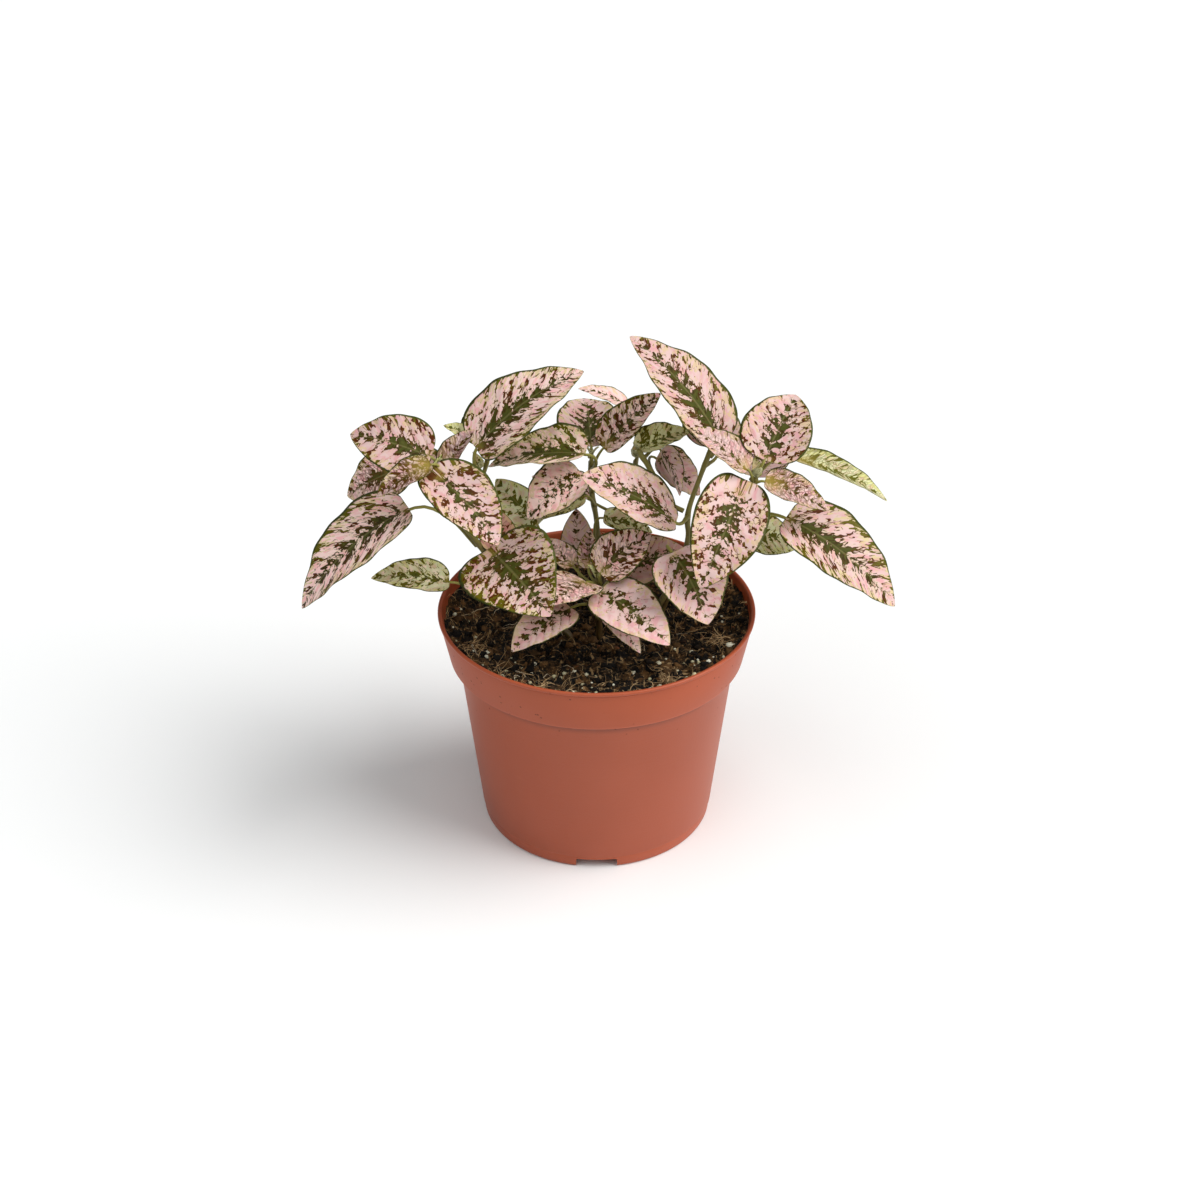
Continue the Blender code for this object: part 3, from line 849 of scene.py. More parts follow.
def outline(t):
    """Half width of a leaf's outline along its blade, as a share."""
    fullest = SHOULDER_POWER / (SHOULDER_POWER + TIP_POWER)
    peak = fullest**SHOULDER_POWER * (1 - fullest) ** TIP_POWER
    return max(t, 0.0) ** SHOULDER_POWER * max(1 - t, 0.0) ** TIP_POWER / peak


class Blade:
    """The middle surface of a leaf: t runs from base to tip, s from -1 to 1 across."""

    def __init__(self, sections, look, seed, leaf):
        middles = [s.middle for s in sections]
        knots, self.length = shares(middles)
        self.middle = Track(knots, middles)
        inner = [(k, s) for k, s in zip(knots, sections) if 0 < k < 1 and s.left != s.right]
        knots = [k for k, _ in inner]
        reaches = [(s.left - s.right) / 2 / outline(k) * look.broad for k, s in inner]
        lifts = [(mean([s.left, s.right]) - s.middle) / outline(k) for k, s in inner]
        self.reach, self.lift = Track(knots, reaches), Track(knots, lifts)
        self.span = knots[0], knots[-1]
        self.width = 2 * max(self.reach.at(k).length for k in knots)
        base = (self.middle.at(0.1) - self.middle.at(0)).normalized()
        self.back = base * LOBE * self.width
        self.look, self.seed = look, seed
        rng = random.Random(seed)
        self.phase = [rng.uniform(0, math.tau) for _ in range(2)]
        grown = min(1.0, self.width / GROWN_WIDTH)
        self.wave, self.quilt = leaf.wave * grown, leaf.quilt * grown

    def clipped(self, t):
        return min(max(t, self.span[0]), self.span[1])

    def half(self, t):
        return self.width * outline(t) / 2

    def axes(self, t):
        ahead, behind = self.middle.at(min(t + 0.01, 1)), self.middle.at(max(t - 0.01, 0))
        along = (ahead - behind).normalized()
        side = self.reach.at(self.clipped(t)).normalized()
        return along, side, along.cross(side).normalized()

    def swept(self, t, s):
        """How far back along the midrib, in metres, the side vein at a point starts."""
        return self.half(t) * (0.6 * abs(s) + 0.3 * s * s)

    def lateral(self, t, s):
        """Number of side veins passed."""
        return LATERALS * (t - self.swept(t, s) / self.length)

    def point(self, t, s):
        """A point of the solid's curved blade, moved by the lobes, waves and quilting."""
        shape, inner = outline(t), self.clipped(t)
        _, _, up = self.axes(t)
        place = self.middle.at(t)
        place += (self.reach.at(inner) + self.lift.at(inner) * s) * shape * s
        place -= self.back * self.look.lobe * s * s * max(0.0, 1 - 2.4 * t) ** 2
        turn = self.phase[0 if s > 0 else 1]
        ripple = sum(high * math.sin(math.tau * waves * t + turn) for waves, high in RIPPLES)
        swell = math.cos(math.tau * self.lateral(t, s)) * abs(s) * (1 - abs(s)) * 4
        fade = min(1.0, 6 * t) * min(1.0, 5 * (1 - t))
        return place + up * fade * (self.wave * ripple * s * s - self.quilt * swell * shape)

    def label(self, vert, layer, t, s):
        """Writes what the leaf's materials read."""
        veins, place, habit, tone, bent = layer
        look, half = self.look, self.half(t)
        vert[veins] = (t * self.length / MM, half * s / MM, self.seed * 17.3)
        vert[bent] = (self.swept(t, s) / MM, look.drawn, 0)
        vert[place] = (t, s, half / MM)
        vert[habit] = (look.cover, look.core, LATERALS * MM / self.length)
        vert[tone] = (look.blush, look.green, look.net)


def add_blade(bm, blade, thickness, rows=BLADE_ROWS, columns=BLADE_COLUMNS):
    """Both faces of a blade, thinning to the margins, with rows that crowd at its ends."""
    layer = layers(bm)
    ups = [blade.axes(row / (rows - 1))[2] for row in range(rows)]

    def put(vert, row, step):
        even = row / (rows - 1)
        crowded = 0.5 - 0.5 * math.cos(math.pi * even)
        t = min(0.4 * crowded + 0.6 * even, 0.997)
        above = step <= columns
        s = -1 + 2 * step / columns if above else 3 - 2 * step / columns
        depth = thickness / 2 * math.sqrt(max(0.0, 1 - s * s)) * min(1.0, 20 * (1 - t) + 0.2)
        up = ups[round(t * (rows - 1))]
        vert.co = blade.point(t, s) + up * (depth if above else -depth)
        blade.label(vert, layer, t, s)

    sleeve(bm, rows, 2 * columns, put, lambda share: UPPER if share < 0.5 else UNDER)


def add_stalk(bm, blade, stalk, radius):
    """The round stalk, which runs on under the blade as its midrib."""
    layer = layers(bm)
    veins, place, *_ = layer
    line = Track(shares(stalk)[0], stalk)
    start = line.at(0) - (line.at(0.05) - line.at(0)).normalized() * STALK_SUNK
    rows = STALK_ROWS + RIB_ROWS

    def thick(row):
        """Radius at a row: flared at the foot, thinner at the blade and fine at its tip."""
        if row < STALK_ROWS:
            share = row / STALK_ROWS
            return radius * (1.0 - 0.35 * share + 0.25 * max(0.0, 1 - 5 * share))
        return radius * (0.65 - 0.53 * (row - STALK_ROWS) / RIB_ROWS)

    def centre(row):
        """The middle at a row: on the stalk's line, then just under the blade."""
        if row < STALK_ROWS:
            return line.at(row / STALK_ROWS) if row else start
        t = RIB_REACH * (row - STALK_ROWS) / RIB_ROWS
        return blade.point(t, 0) - blade.axes(t)[2] * thick(row) * 0.75

    centres = [centre(row) for row in range(rows)]
    side = blade.axes(0)[1]

    def put(vert, row, step):
        run = heading_at(centres, row)
        across = (side - run * side.dot(run)).normalized()
        angle = math.tau * step / STALK_SIDES
        vert.co = on_ring(centres[row], across, run.cross(across), angle, thick(row))
        share = row / STALK_ROWS - 1
        blade.label(vert, layer, max(share, 0.0) * STALK_ROWS / RIB_ROWS, 0)
        vert[veins] = (row * 1.5, step, blade.seed * 3.1)
        vert[place] = (share if share < 0 else share * 0.3, 0, 0)

    sleeve(bm, rows, STALK_SIDES, put, lambda share: STALK)


def make_leaf(shoot, node, look, seed, leaf, finishes):
    stalk, sections = leaf_sections(shoot, node)
    blade = Blade(sections, look, seed, leaf)
    bm = bmesh.new()
    add_blade(bm, blade, leaf.thickness)
    grown = min(1.0, 0.55 + blade.width / FULL_STALK)
    add_stalk(bm, blade, stalk, leaf.stalk_radius * grown)
    bmesh.ops.recalc_face_normals(bm, faces=bm.faces)
    piece("fine_" + node, bm, finishes, [node])


# Stems

ROOTED = 90 * MM  # a stem whose foot is lower than this grows from the soil
ROOT_DEPTH = 2 * MM
NODE_REACH = 2.2 * MM  # how far from a leaf's foot its stem is swollen
SHRUNK = 0.88  # radius of a plain stretch, as a share of the solid's
RIDGE = 0.05  # how far the four ridges stand out, as a share of the radius
UNEVEN = 0.04  # how much the radius varies along a stem, as a share of it
BROWN_BELOW, GREEN_ABOVE = 80 * MM, 150 * MM


def make_stem(shoot, stems, finish):
    """A faintly four-ridged stem, swollen where its leaves grow."""
    node = "stem_" + shoot
    joints = [leaf_sections(shoot, leaf)[0][0] for other, leaf, _ in LEAVES if other == shoot]
    centres, radii = stem_line(node)
    knots, length = shares(centres)
    line, girth = Track(knots, centres), Track(knots, radii)
    rows = max(12, round(length / STEM_ROW))
    depth = ROOT_DEPTH if centres[0].z < ROOTED else 0
    foot = centres[0] - Vector((0, 0, depth))
    bm = bmesh.new()
    veins, place, *_ = layers(bm)

    def put(vert, row, step):
        t = row / (rows - 1)
        centre = line.at(t) if row else foot
        run = (line.at(min(t + 0.01, 1)) - line.at(max(t - 0.01, 0))).normalized()
        across = run.orthogonal() if abs(run.y) > 0.9 else run.cross(Vector((0, 1, 0)))
        across.normalize()
        angle = math.tau * step / STEM_SIDES
        near = sum(math.exp(-(((centre - joint).length / NODE_REACH) ** 2)) for joint in joints)
        near = min(near, 1.0)
        swell = 1 + stems.swelling * near + RIDGE * math.cos(4 * angle)
        swell += UNEVEN * math.sin(37 * t + angle)
        radius = SHRUNK * girth.at(t) * swell * (1.0 if row < rows - 1 else 0.4)
        vert.co = on_ring(centre, across, run.cross(across), angle, radius)
        vert[veins] = (step, t * length / MM, len(node))
        rise = (centre.z - BROWN_BELOW) / (GREEN_ABOVE - BROWN_BELOW)
        vert[place] = (min(1.0, rise), near, 0)

    sleeve(bm, rows, STEM_SIDES, put)
    bmesh.ops.recalc_face_normals(bm, faces=bm.faces)
    piece("fine_" + node, bm, [finish], [node])


# Buds

BUD_LOOK = Look(0.4, 0.2, 0.3, 0.9, 0.3, 0.0)
FIRST_BUD_SEED = 60

# For each shoot's buds: where one points and how steeply, in degrees, and its length
# and width in millimetres
BUDS = {
    "left": ((60, 62, 8, 4), (230, 55, 7, 4)),
    "left_back": ((140, 60, 7, 4), (300, 58, 6, 3)),
    "low_left": ((200, 60, 7, 4), (30, 66, 6, 3)),
    "crown": ((200, 64, 8, 4), (330, 60, 7, 4)),
    "right_inner": ((250, 58, 7, 4),),
    "middle": ((80, 55, 6, 3), (250, 45, 6, 3)),
    "right": ((100, 60, 8, 4), (280, 58, 7, 4)),
    "front": ((20, 50, 6, 4), (160, 55, 6, 4)),
    "back": ((60, 60, 8, 4), (250, 55, 7, 4)),
}


def bud_sections(base, heading, pitch, length, width):
    """Sections of a small folded leaf that grows from a shoot's tip."""
    heading, pitch = math.radians(heading), math.radians(pitch)
    level = Vector((math.cos(heading), math.sin(heading), 0))
    side = Vector((-math.sin(heading), math.cos(heading), 0))
    along = level * math.cos(pitch) + Vector((0, 0, math.sin(pitch)))
    up = along.cross(side)
    sections = []
    for t in (0.0, 0.1, 0.25, 0.45, 0.65, 0.85, 1.0):
        middle = base + (along * t + up * 0.35 * t * (1 - t)) * length * MM
        half = side * outline(t) * width / 2 * MM
        lift = up * outline(t) * 0.45 * width / 2 * MM
        sections.append(Section(middle + half + lift, middle, middle - half + lift))
    return sections


def make_buds(leaf, finishes):
    bm = bmesh.new()
    buds = [(shoot, bud) for shoot, some in BUDS.items() for bud in some]
    for seed, (shoot, bud) in enumerate(buds, FIRST_BUD_SEED):
        centres, _ = stem_line("stem_" + shoot)
        blade = Blade(bud_sections(centres[-1], *bud), BUD_LOOK, seed, leaf)
        add_blade(bm, blade, leaf.thickness, BUD_ROWS, BUD_COLUMNS)
    bmesh.ops.recalc_face_normals(bm, faces=bm.faces)
    piece("buds", bm, finishes)


# Soil

CLEARANCE = 2.2 * MM  # from the outside of the pot's rim to the soil's edge
CROWN = 1.6 * MM  # how far the soil falls from its middle to its edge, but for its bank
BANK = 6.3 * MM  # how high the soil is banked up against the pot
BANK_START = 0.75  # share of the way out where the bank starts
GAP = 0.6 * MM  # between the soil and the pot's inside, lower down
LITTER_SEED = 11
FEW = 12  # loose bits made in one mesh, before it joins the rest
HAIR = [i / 6 for i in range(7)]  # shares of its length where a hair of a tuft has a point
FRONT_TUFTS = (-114, -57, -20, 200)  # degrees round the pot
LONE_GRAIN = (-23, 0.93, 1.4 * MM)  # degrees round, share of the way out, radius


class Ground:
    """The soil's lumpy top, over the plain solid's."""

    def __init__(self, lumps):
        self.lumps = lumps
        low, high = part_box("soil")
        pot_low, pot_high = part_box("pot")
        self.radius = (pot_high.x - pot_low.x) / 2 - CLEARANCE
        self.low, self.high = low.z, high.z

    def height(self, x, y):
        reach = math.hypot(x, y) / self.radius
        bank = max(0.0, (reach - BANK_START) / (1 - BANK_START)) ** 1.5
        level = self.high - CROWN * reach**2 + BANK * bank
        coarse = noise.fractal(Vector((x * 85, y * 85, 3.7)), 0.7, 2.1, 4)
        clod = abs(noise.noise(Vector((x * 170, y * 170, 5.2))))
        fine = noise.noise(Vector((x * 520, y * 520, 9.1)))
        return level + self.lumps * (coarse - 1.1 * clod + 0.3 * fine + 0.2)

    def spot(self, share, angle, above=0.0):
        """A place on the soil, a share of the way out to its edge."""
        x, y = share * self.radius * math.cos(angle), share * self.radius * math.sin(angle)
        return Vector((x, y, self.height(x, y) + above))

    def scatter(self, rng, spread=0.97):
        """A random place on the soil."""
        return self.spot(spread * math.sqrt(rng.random()), rng.uniform(0, math.tau))


def turn(bm, profile, steps):
    """Spins a line of (radius, height) points right round."""
    verts = [bm.verts.new((radius, 0, height)) for radius, height in profile]
    edges = [bm.edges.new(pair) for pair in zip(verts, verts[1:])]
    round_pot = {"cent": (0, 0, 0), "axis": (0, 0, 1), "angle": math.tau, "steps": steps}
    bmesh.ops.spin(bm, geom=verts + edges, use_merge=True, use_duplicate=False, **round_pot)
    bmesh.ops.remove_doubles(bm, verts=bm.verts, dist=WELD)
    bmesh.ops.recalc_face_normals(bm, faces=bm.faces)


def make_soil(ground, pot, finish):
    top = [(ground.radius * i / SOIL_RINGS, ground.high) for i in range(SOIL_RINGS + 1)]
    inset, shelf = pot.wall + GAP, pot.collar_foot_height
    foot = pot.foot_radius - inset
    wall = [
        (pot.collar_foot_radius - inset - GAP, shelf + 2.4 * MM),
        (pot.body_top_radius - inset - 0.4 * MM, shelf - 0.6 * MM),
        (foot, ground.low + 2.6 * MM),
        (foot - 2.5 * MM, ground.low),
    ]
    bm = bmesh.new()
    turn(bm, [*top, *wall, (0, ground.low)], SOIL_TURN)
    for vert in bm.verts:
        if vert.co.z > ground.high - 0.5 * MM:
            vert.co.z = ground.height(vert.co.x, vert.co.y)
    piece("fine_soil", bm, [finish], ["soil"])


def lump(bm, rng, spot, radius, roughness, shade):
    """A rough little ball, a few dozen faces."""
    layer = bm.verts.layers.float_vector["shade"]
    verts = bmesh.ops.create_icosphere(bm, subdivisions=2, radius=radius)["verts"]
    offset = Vector((rng.random(), rng.random(), rng.random())) * 40
    squash = Vector((rng.uniform(0.8, 1.3), rng.uniform(0.8, 1.3), rng.uniform(0.55, 0.9)))
    for vert in verts:
        bulge = 1 + roughness * noise.noise(vert.co.normalized() * 1.7 + offset)
        vert.co = vert.co * squash * bulge + spot
        vert[layer] = (shade, 0, 0)


def thread(bm, line, radius, shade):
    """A thin three-sided fibre along a line of points."""
    layer = bm.verts.layers.float_vector["shade"]
    rows = len(line)

    def put(vert, row, step):
        run = heading_at(line, row)
        across = run.orthogonal().normalized()
        thin = radius * (1 - 0.6 * row / rows)
        vert.co = on_ring(line[row], across, run.cross(across), math.tau * step / 3, thin)
        vert[layer] = (shade, 0, 0)

    sleeve(bm, rows, 3, put)


def wander(rng, ground, length, lift, points=8):
    """A line of points that curls over the soil from a random spot."""
    spot = ground.scatter(rng, 0.93)
    heading = rng.uniform(0, math.tau)
    bend = rng.uniform(-0.5, 0.5)
    height = rng.uniform(0, lift)
    line = []
    for i in range(points):
        rise = height * math.sin(math.pi * i / (points - 1))
        x, y = spot.x, spot.y
        line.append(Vector((x, y, ground.height(x, y) + 0.1 * MM + rise)))
        heading += bend * 0.5 + rng.gauss(0, 0.18)
        step = Vector((math.cos(heading), math.sin(heading), 0)) * length / points
        if math.hypot(x + step.x, y + step.y) > 0.96 * ground.radius:
            heading += math.pi / 2
            step = Vector((-step.y, step.x, 0)) * 0.3
        spot += step
    return line


def chip(bm, rng, spot, reach, shade):
    """A flat splinter of bark."""
    layer = bm.verts.layers.float_vector["shade"]
    verts = bmesh.ops.create_circle(bm, cap_ends=True, segments=7, radius=reach)["verts"]
    narrow = rng.uniform(0.3, 0.8)
    for vert in verts:
        vert.co.y *= narrow
        vert.co *= rng.uniform(0.75, 1.15)
    made = bmesh.ops.extrude_face_region(bm, geom=[verts[0].link_faces[0]])["geom"]
    raised = [item for item in made if isinstance(item, bmesh.types.BMVert)]
    for vert in raised:
        vert.co.z += reach * rng.uniform(0.15, 0.35)
    tilt = Vector((rng.uniform(-1, 1), rng.uniform(-1, 1), rng.uniform(-0.4, 0.4)))
    stood = tilt.to_track_quat("Z", "Y").to_matrix() if rng.random() < 0.25 else None
    angle = rng.uniform(0, math.tau)
    for vert in [*verts, *raised]:
        x = vert.co.x * math.cos(angle) - vert.co.y * math.sin(angle)
        y = vert.co.x * math.sin(angle) + vert.co.y * math.cos(angle)
        place = Vector((x, y, vert.co.z + 0.25 * x * narrow))
        vert.co = (stood @ place if stood else place) + spot
        vert[layer] = (shade, 0, 0)


def litter(name, material, number, make):
    """One object of many loose bits. They are made a few at a time, each few in a mesh
    of its own, because mesh operators slow down as a mesh grows."""
    bm = bmesh.new()
    for start in range(0, number, FEW):
        few = bmesh.new()
        few.verts.layers.float_vector.new("shade")
        for index in range(start, min(start + FEW, number)):
            make(few, index)
        bmesh.ops.recalc_face_normals(few, faces=few.faces)
        mesh = mesh_of("few", few)
        bm.from_mesh(mesh)
        bpy.data.meshes.remove(mesh)
    piece(name, bm, [material])


def make_litter(soil, ground):
    rng = random.Random(LITTER_SEED)

    def crumb(bm, _):
        radius = rng.uniform(0.3, 1.0) ** 3 * 1.5 * MM + 0.2 * MM
        lump(bm, rng, ground.scatter(rng), radius, 1.5, rng.random() ** 3)

    def grain(bm, index):
        angle, out, radius = LONE_GRAIN
        if index:
            angle, out = rng.gauss(-85, 50), 0.97 - 0.4 * rng.random() ** 2
            radius = rng.uniform(0.25, 0.85) * MM
        spot = ground.spot(out, math.radians(angle), 0.5 * radius)
        lump(bm, rng, spot, radius, 0.6, rng.random())

    def fibre(bm, _):
        length = rng.uniform(2, 9) * MM
        line = wander(rng, ground, length, 1.6 * MM)
        thread(bm, line, rng.uniform(0.07, 0.18) * MM, rng.random() ** 1.5)

    tufts = [
        ground.spot(1 - 0.3 * rng.random() ** 2, rng.uniform(0, math.tau))
        for _ in range(soil.tufts)
    ]
    for angle in FRONT_TUFTS:
        tufts += [ground.spot(0.84, math.radians(angle), 0.8 * MM)] * 3

    def tuft(bm, index):
        for _ in range(rng.randint(14, 26)):
            tilt, heading = rng.gauss(0, 0.5), rng.uniform(0, math.tau)
            run = Vector((math.cos(heading), math.sin(heading), tilt)).normalized()
            start = tufts[index] + Vector([rng.gauss(0, 1.6) for _ in range(3)]) * MM * 0.8
            curl = run.orthogonal() * rng.uniform(-1.2, 1.2) * MM
            length = rng.uniform(2.0, 7.0) * MM
            line = [start + run * length * u + curl * u * (1 - u) * 2 for u in HAIR]
            if max(math.hypot(point.x, point.y) for point in line) < ground.radius:
                thread(bm, line, rng.uniform(0.08, 0.17) * MM, rng.random() ** 0.6)

    def root(bm, _):
        line = wander(rng, ground, rng.uniform(6, 17) * MM, 2.2 * MM, 12)
        thread(bm, line, rng.uniform(0.1, 0.24) * MM, rng.random())

    def bark_chip(bm, _):
        chip(bm, rng, ground.scatter(rng), rng.uniform(0.6, 2.2) * MM, rng.random() ** 2)

    for name, make, number, finish, dark, light, roughness in (
        ("crumbs", crumb, soil.crumbs, "crumb", (16, 11, 7), (112, 82, 50), 0.9),
        ("grains", grain, soil.grains, "mineral_grain", (196, 190, 150), (240, 236, 214), 0.6),
        ("fibres", fibre, soil.fibres, "fibre", (70, 50, 30), (196, 164, 120), 0.8),
        ("tufts", tuft, len(tufts), "tuft", (104, 72, 42), (226, 190, 142), 0.8),
        ("roots", root, soil.roots, "root", (190, 164, 128), (238, 222, 192), 0.7),
        ("bark_chips", bark_chip, soil.chips, "bark", (34, 22, 14), (142, 92, 58), 0.85),
    ):
        finish = litter_finish(finish, colour(*dark), colour(*light), roughness)
        litter(name, finish, number, make)


# Pot

DRAIN_RADIUS = 4 * MM
DRAIN_RING = 28 * MM
NOTCHES = 3
NOTCH = (10 * MM, 15.6 * MM, 7.8 * MM)  # half of its height is below the foot
NOTCH_CORNER = 0.8 * MM
SHARP = math.radians(40)  # edges of the pot that turn further than this aren't smoothed


def pot_profile(pot):
    """From the middle of the floor's top, up inside, over the lip and down to the foot.
    Every number here is in millimetres until the end."""
    low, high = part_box("pot")
    rim, top = (high.x - low.x) / 2 / MM, high.z / MM
    lip, wall, shelf = pot.lip / MM, pot.wall / MM, pot.collar_foot_height / MM
    foot, neck, collar = (
        radius / MM for radius in (pot.foot_radius, pot.body_top_radius, pot.collar_foot_radius)
    )
    under = pot.floor_height / MM
    floor = under + pot.floor_thickness / MM
    rim_inside = rim - lip - wall

    def body(height):
        return foot + (neck - foot) * height / shelf

    inside = [
        (0, floor),
        (body(floor) - wall - 2, floor),
        (body(floor) - wall - 0.6, floor + 0.5),
        (body(floor + 2) - wall, floor + 2),
        (body(shelf) - wall, shelf - 1.2),
        (body(shelf) - wall + 0.5, shelf + 0.2),
        (collar - wall - 0.5, shelf + 1.0),
        (collar - wall, shelf + 1.8),
        (rim_inside, top - 2 * lip),
        (rim_inside + 0.1, top - 0.9 * lip),
        (rim_inside + 0.45, top - 0.25 * lip),
    ]
    lip_line = [
        (rim - wall * 0.75, top),
        (rim - 0.5 * lip, top - 0.08),
        (rim - 0.12, top - 0.4 * lip),
        (rim, top - lip),
        (rim - 0.08, top - 1.7 * lip),
        (rim - 0.5 * lip, top - 2.1 * lip),
        (rim - 1.2 * lip, top - 2.5 * lip),
        (rim - 0.95 * lip, top - 3.2 * lip),
    ]
    outside = [
        (collar + 0.02, shelf + 0.9),
        (collar - 0.12, shelf + 0.3),
        (collar - 0.6, shelf),
        (neck + 0.5, shelf),
        (neck, shelf - 0.5),
        (body(5.4), 5.4),
        (body(5.1) - 0.25, 5.1),
        (body(4.7) - 0.25, 4.7),
        (body(1.0) - 0.25, 1.0),
        (foot - 0.55, 0.25),
        (foot - 1.0, 0),
    ]
    underside = [(foot - 1.9, 0), (foot - 2.1, 0.3), (foot - 1.8, under), (0, under)]
    points = inside + lip_line + outside + underside
    return [(radius * MM, height * MM) for radius, height in points]


def cutter(bm, x, y, z, angle=0.0):
    """A hidden shape to cut with."""
    obj = added("cutter", mesh_of("cutter", bm))
    obj.location = (x, y, z)
    obj.rotation_euler.z = angle
    return obj


def notch(x, y, angle):
    bm = bmesh.new()
    bmesh.ops.create_cube(bm, size=1.0)
    bmesh.ops.scale(bm, vec=NOTCH, verts=bm.verts)
    rounding = {"affect": "EDGES", "segments": 3, "profile": 0.5, "material": -1}
    bmesh.ops.bevel(bm, geom=bm.edges[:], offset=NOTCH_CORNER, **rounding)
    return cutter(bm, x, y, 0, angle)


def drain_hole(x, y, z):
    bm = bmesh.new()
    ends = {"radius1": DRAIN_RADIUS, "radius2": DRAIN_RADIUS}
    bmesh.ops.create_cone(bm, cap_ends=True, segments=32, depth=10 * MM, **ends)
    return cutter(bm, x, y, z)


def carve(obj, cutters):
    """Cuts the hidden shapes out of an object, and takes them away."""
    for tool in cutters:
        boolean = obj.modifiers.new("Cut", "BOOLEAN")
        boolean.operation = "DIFFERENCE"
        boolean.object = tool
    graph = bpy.context.evaluated_depsgraph_get()
    carved = bpy.data.meshes.new_from_object(obj.evaluated_get(graph))
    obj.modifiers.clear()
    obj.data = carved
    for tool in cutters:
        bpy.data.objects.remove(tool)


def make_pot(pot, finish):
    bm = bmesh.new()
    turn(bm, pot_profile(pot), POT_TURN)
    obj = piece("fine_pot", bm, [finish], ["pot"])
    cutters = [drain_hole(0, 0, pot.floor_height)]
    for index in range(NOTCHES):
        angle = math.radians(-90 + 360 / NOTCHES * index)
        x, y = math.cos(angle), math.sin(angle)
        cutters.append(drain_hole(DRAIN_RING * x, DRAIN_RING * y, pot.floor_height))
        cutters.append(notch(pot.foot_radius * x, pot.foot_radius * y, angle))
    carve(obj, cutters)
    obj.data.set_sharp_from_angle(angle=SHARP)


# Stage

AIM_SIDEWAYS = 1.3 * MM
AIM_HEIGHT = 0.494  # as a share of the object's height
SKY, SKY_STRENGTH = (0.92, 0.98, 1, 1), 0.24
FLOOR_SIZE = 30.0
FLOOR_GAP = 0.1 * MM
SENSOR = 36  # in millimetres

# Where each light comes from, how wide it is in degrees, its power and its tone
Sun = namedtuple("Sun", "name direction spread power tone")

SUNS = (
    Sun("key", (1.0, -0.16, 1.25), 50, 2.75, (1.0, 0.99, 0.975)),
    Sun("top", (-0.4, -0.5, 1.0), 60, 0.9, (0.98, 0.995, 1.0)),
    Sun("side", (1.0, -0.4, 0.12), 40, 1.1, (1.0, 0.99, 0.98)),
)


def studio_world():
    """A dim sky that fills the shadows, which the camera sees as white as the floor."""
    world = bpy.data.worlds.new("studio")
    world.use_nodes = True
    nodes, links = world.node_tree.nodes, world.node_tree.links
    dim, bright = nodes["Background"], nodes.new("ShaderNodeBackground")
    dim.inputs["Color"].default_value = SKY
    dim.inputs["Strength"].default_value = SKY_STRENGTH
    bright.inputs["Color"].default_value = (1, 1, 1, 1)
    either = nodes.new("ShaderNodeMixShader")
    links.new(nodes.new("ShaderNodeLightPath").outputs["Is Camera Ray"], either.inputs[0])
    links.new(dim.outputs[0], either.inputs[1])
    links.new(bright.outputs[0], either.inputs[2])
    links.new(either.outputs[0], nodes["World Output"].inputs["Surface"])
    return world


def make_stage(stage):
    scene = bpy.context.scene
    scene.view_settings.view_transform = "Standard"
    bm = bmesh.new()
    bmesh.ops.create_grid(bm, x_segments=1, y_segments=1, size=FLOOR_SIZE)
    floor = added("floor", mesh_of("floor", bm))
    floor.data.materials.append(floor_finish(stage.floor))
    floor.location.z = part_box("pot")[0].z - FLOOR_GAP
    scene.world = studio_world()
    for sun in SUNS:
        light = bpy.data.lights.new(sun.name, "SUN")
        light.angle = math.radians(sun.spread)
        light.energy = sun.power
        light.color = sun.tone
        turned = Vector(sun.direction).to_track_quat("Z", "Y").to_euler()
        added(sun.name, light).rotation_euler = turned
    camera = added("camera", bpy.data.cameras.new("camera"))
    camera.data.lens = stage.lens
    camera.data.sensor_width = SENSOR
    rise = stage.camera_rise
    away = Vector((0, -math.cos(rise), math.sin(rise))) * stage.camera_distance
    camera.location = Vector((AIM_SIDEWAYS, 0, CAD_BOX[1][2] * AIM_HEIGHT)) + away
    camera.rotation_euler = (-away).to_track_quat("-Z", "Y").to_euler()
    scene.camera = camera


# Add-on


class PLANT_OT_pot(bpy.types.Operator):
    """Turn the pot with its rounded lip, collar, notches and drain holes"""

    bl_idname = "plant.pot"
    bl_label = "Make Pot"

    def execute(self, context):
        pot = context.scene.plant_pot
        make_pot(pot, pot_finish(pot.terracotta, pot.collar_foot_height))
        return {"FINISHED"}


class PLANT_OT_soil(bpy.types.Operator):
    """Make the soil's lumpy top and what lies loose on it"""

    bl_idname = "plant.soil"
    bl_label = "Make Soil"

    def execute(self, context):
        soil = context.scene.plant_soil
        ground = Ground(soil.lumps)
        make_soil(ground, context.scene.plant_pot, peat_finish(soil.peat))
        make_litter(soil, ground)
        return {"FINISHED"}


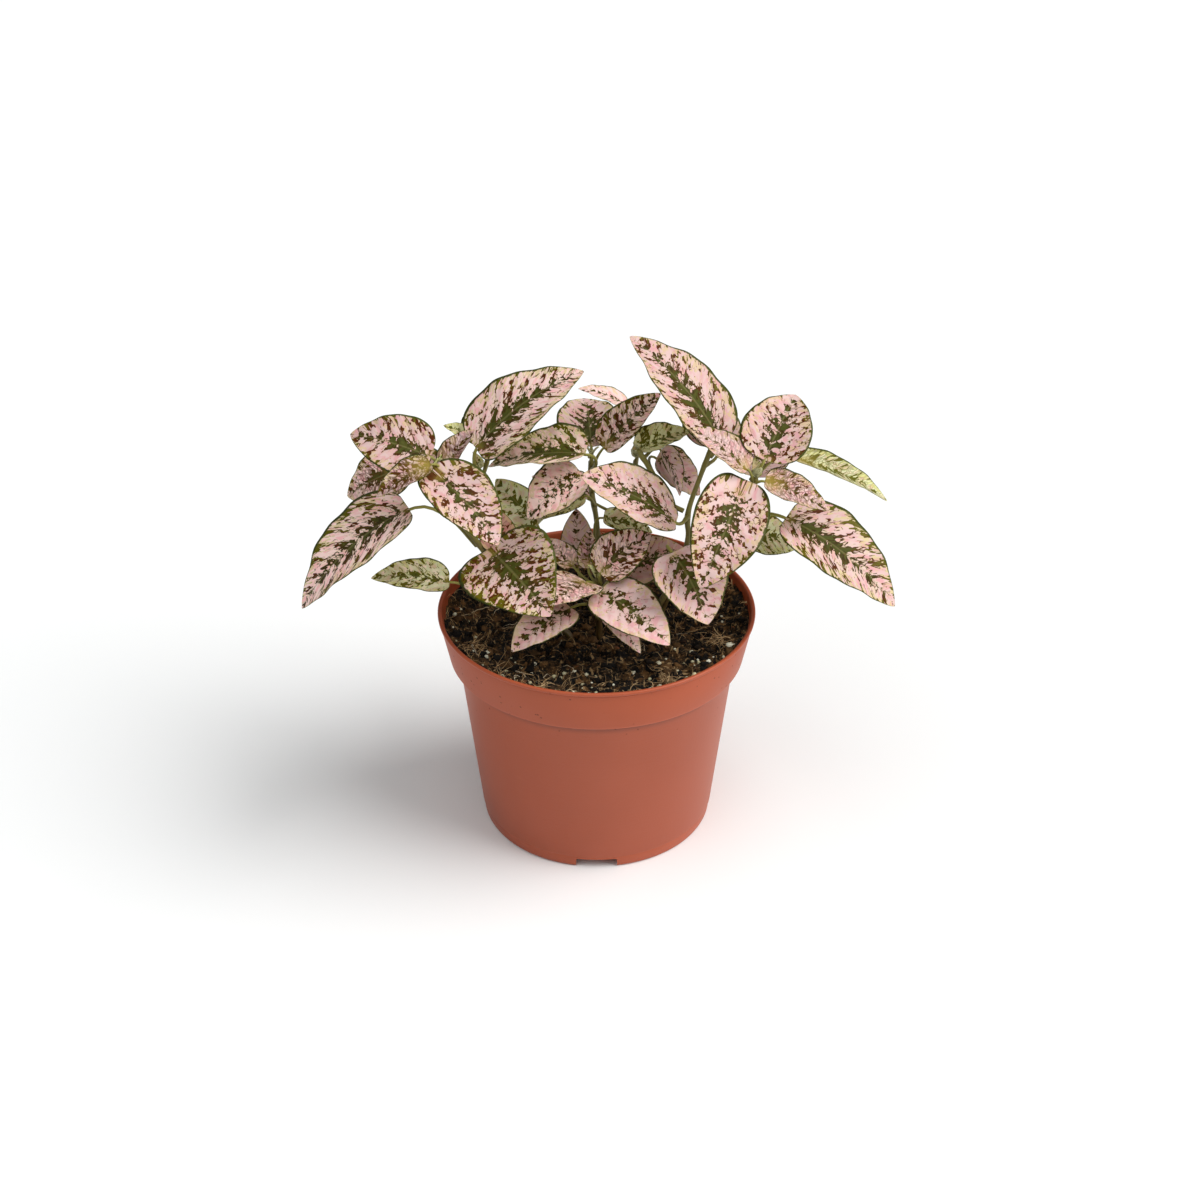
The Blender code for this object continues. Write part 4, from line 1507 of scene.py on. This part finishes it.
class PLANT_OT_stems(bpy.types.Operator):
    """Make the stems, swollen at their nodes"""

    bl_idname = "plant.stems"
    bl_label = "Make Stems"

    def execute(self, context):
        stems = context.scene.plant_stem
        finish = stem_finish(stems)
        for shoot in sorted(SHOOTS):
            make_stem(shoot, stems, finish)
        return {"FINISHED"}


class PLANT_OT_leaves(bpy.types.Operator):
    """Make the leaves and the small ones at the shoots' tips"""

    bl_idname = "plant.leaves"
    bl_label = "Make Leaves"

    def execute(self, context):
        leaf = context.scene.plant_leaf
        finishes = [leaf_upper(leaf), leaf_under(), stalk_finish(context.scene.plant_stem)]
        for seed, (shoot, node, look) in enumerate(LEAVES, 1):
            make_leaf(shoot, node, look, seed, leaf, finishes)
        make_buds(leaf, finishes)
        return {"FINISHED"}


class PLANT_OT_stage(bpy.types.Operator):
    """Set the floor, the lights and the camera"""

    bl_idname = "plant.stage"
    bl_label = "Set Stage"

    def execute(self, context):
        make_stage(context.scene.plant_stage)
        return {"FINISHED"}


OPERATORS = (PLANT_OT_pot, PLANT_OT_soil, PLANT_OT_stems, PLANT_OT_leaves, PLANT_OT_stage)


class PLANT_PT_sidebar(bpy.types.Panel):
    """The plant's pieces, in the order they are made"""

    bl_label = "Potted Plant"
    bl_space_type = "VIEW_3D"
    bl_region_type = "UI"
    bl_category = "Plant"

    def draw(self, context):
        for operator in OPERATORS:
            self.layout.operator(operator.bl_idname)


GROUPS = {
    "plant_leaf": PlantLeafSettings,
    "plant_stem": PlantStemSettings,
    "plant_soil": PlantSoilSettings,
    "plant_pot": PlantPotSettings,
    "plant_stage": PlantStageSettings,
}
CLASSES = (*GROUPS.values(), *OPERATORS, PLANT_PT_sidebar)


def register():
    for cls in CLASSES:
        bpy.utils.register_class(cls)
    for name, group in GROUPS.items():
        setattr(bpy.types.Scene, name, PointerProperty(type=group))


def unregister():
    for name in GROUPS:
        delattr(bpy.types.Scene, name)
    for cls in reversed(CLASSES):
        bpy.utils.unregister_class(cls)


def main():
    register()
    bpy.ops.plant.pot()
    bpy.ops.plant.soil()
    bpy.ops.plant.stems()
    bpy.ops.plant.leaves()
    bpy.ops.plant.stage()


if __name__ == "__main__":
    main()
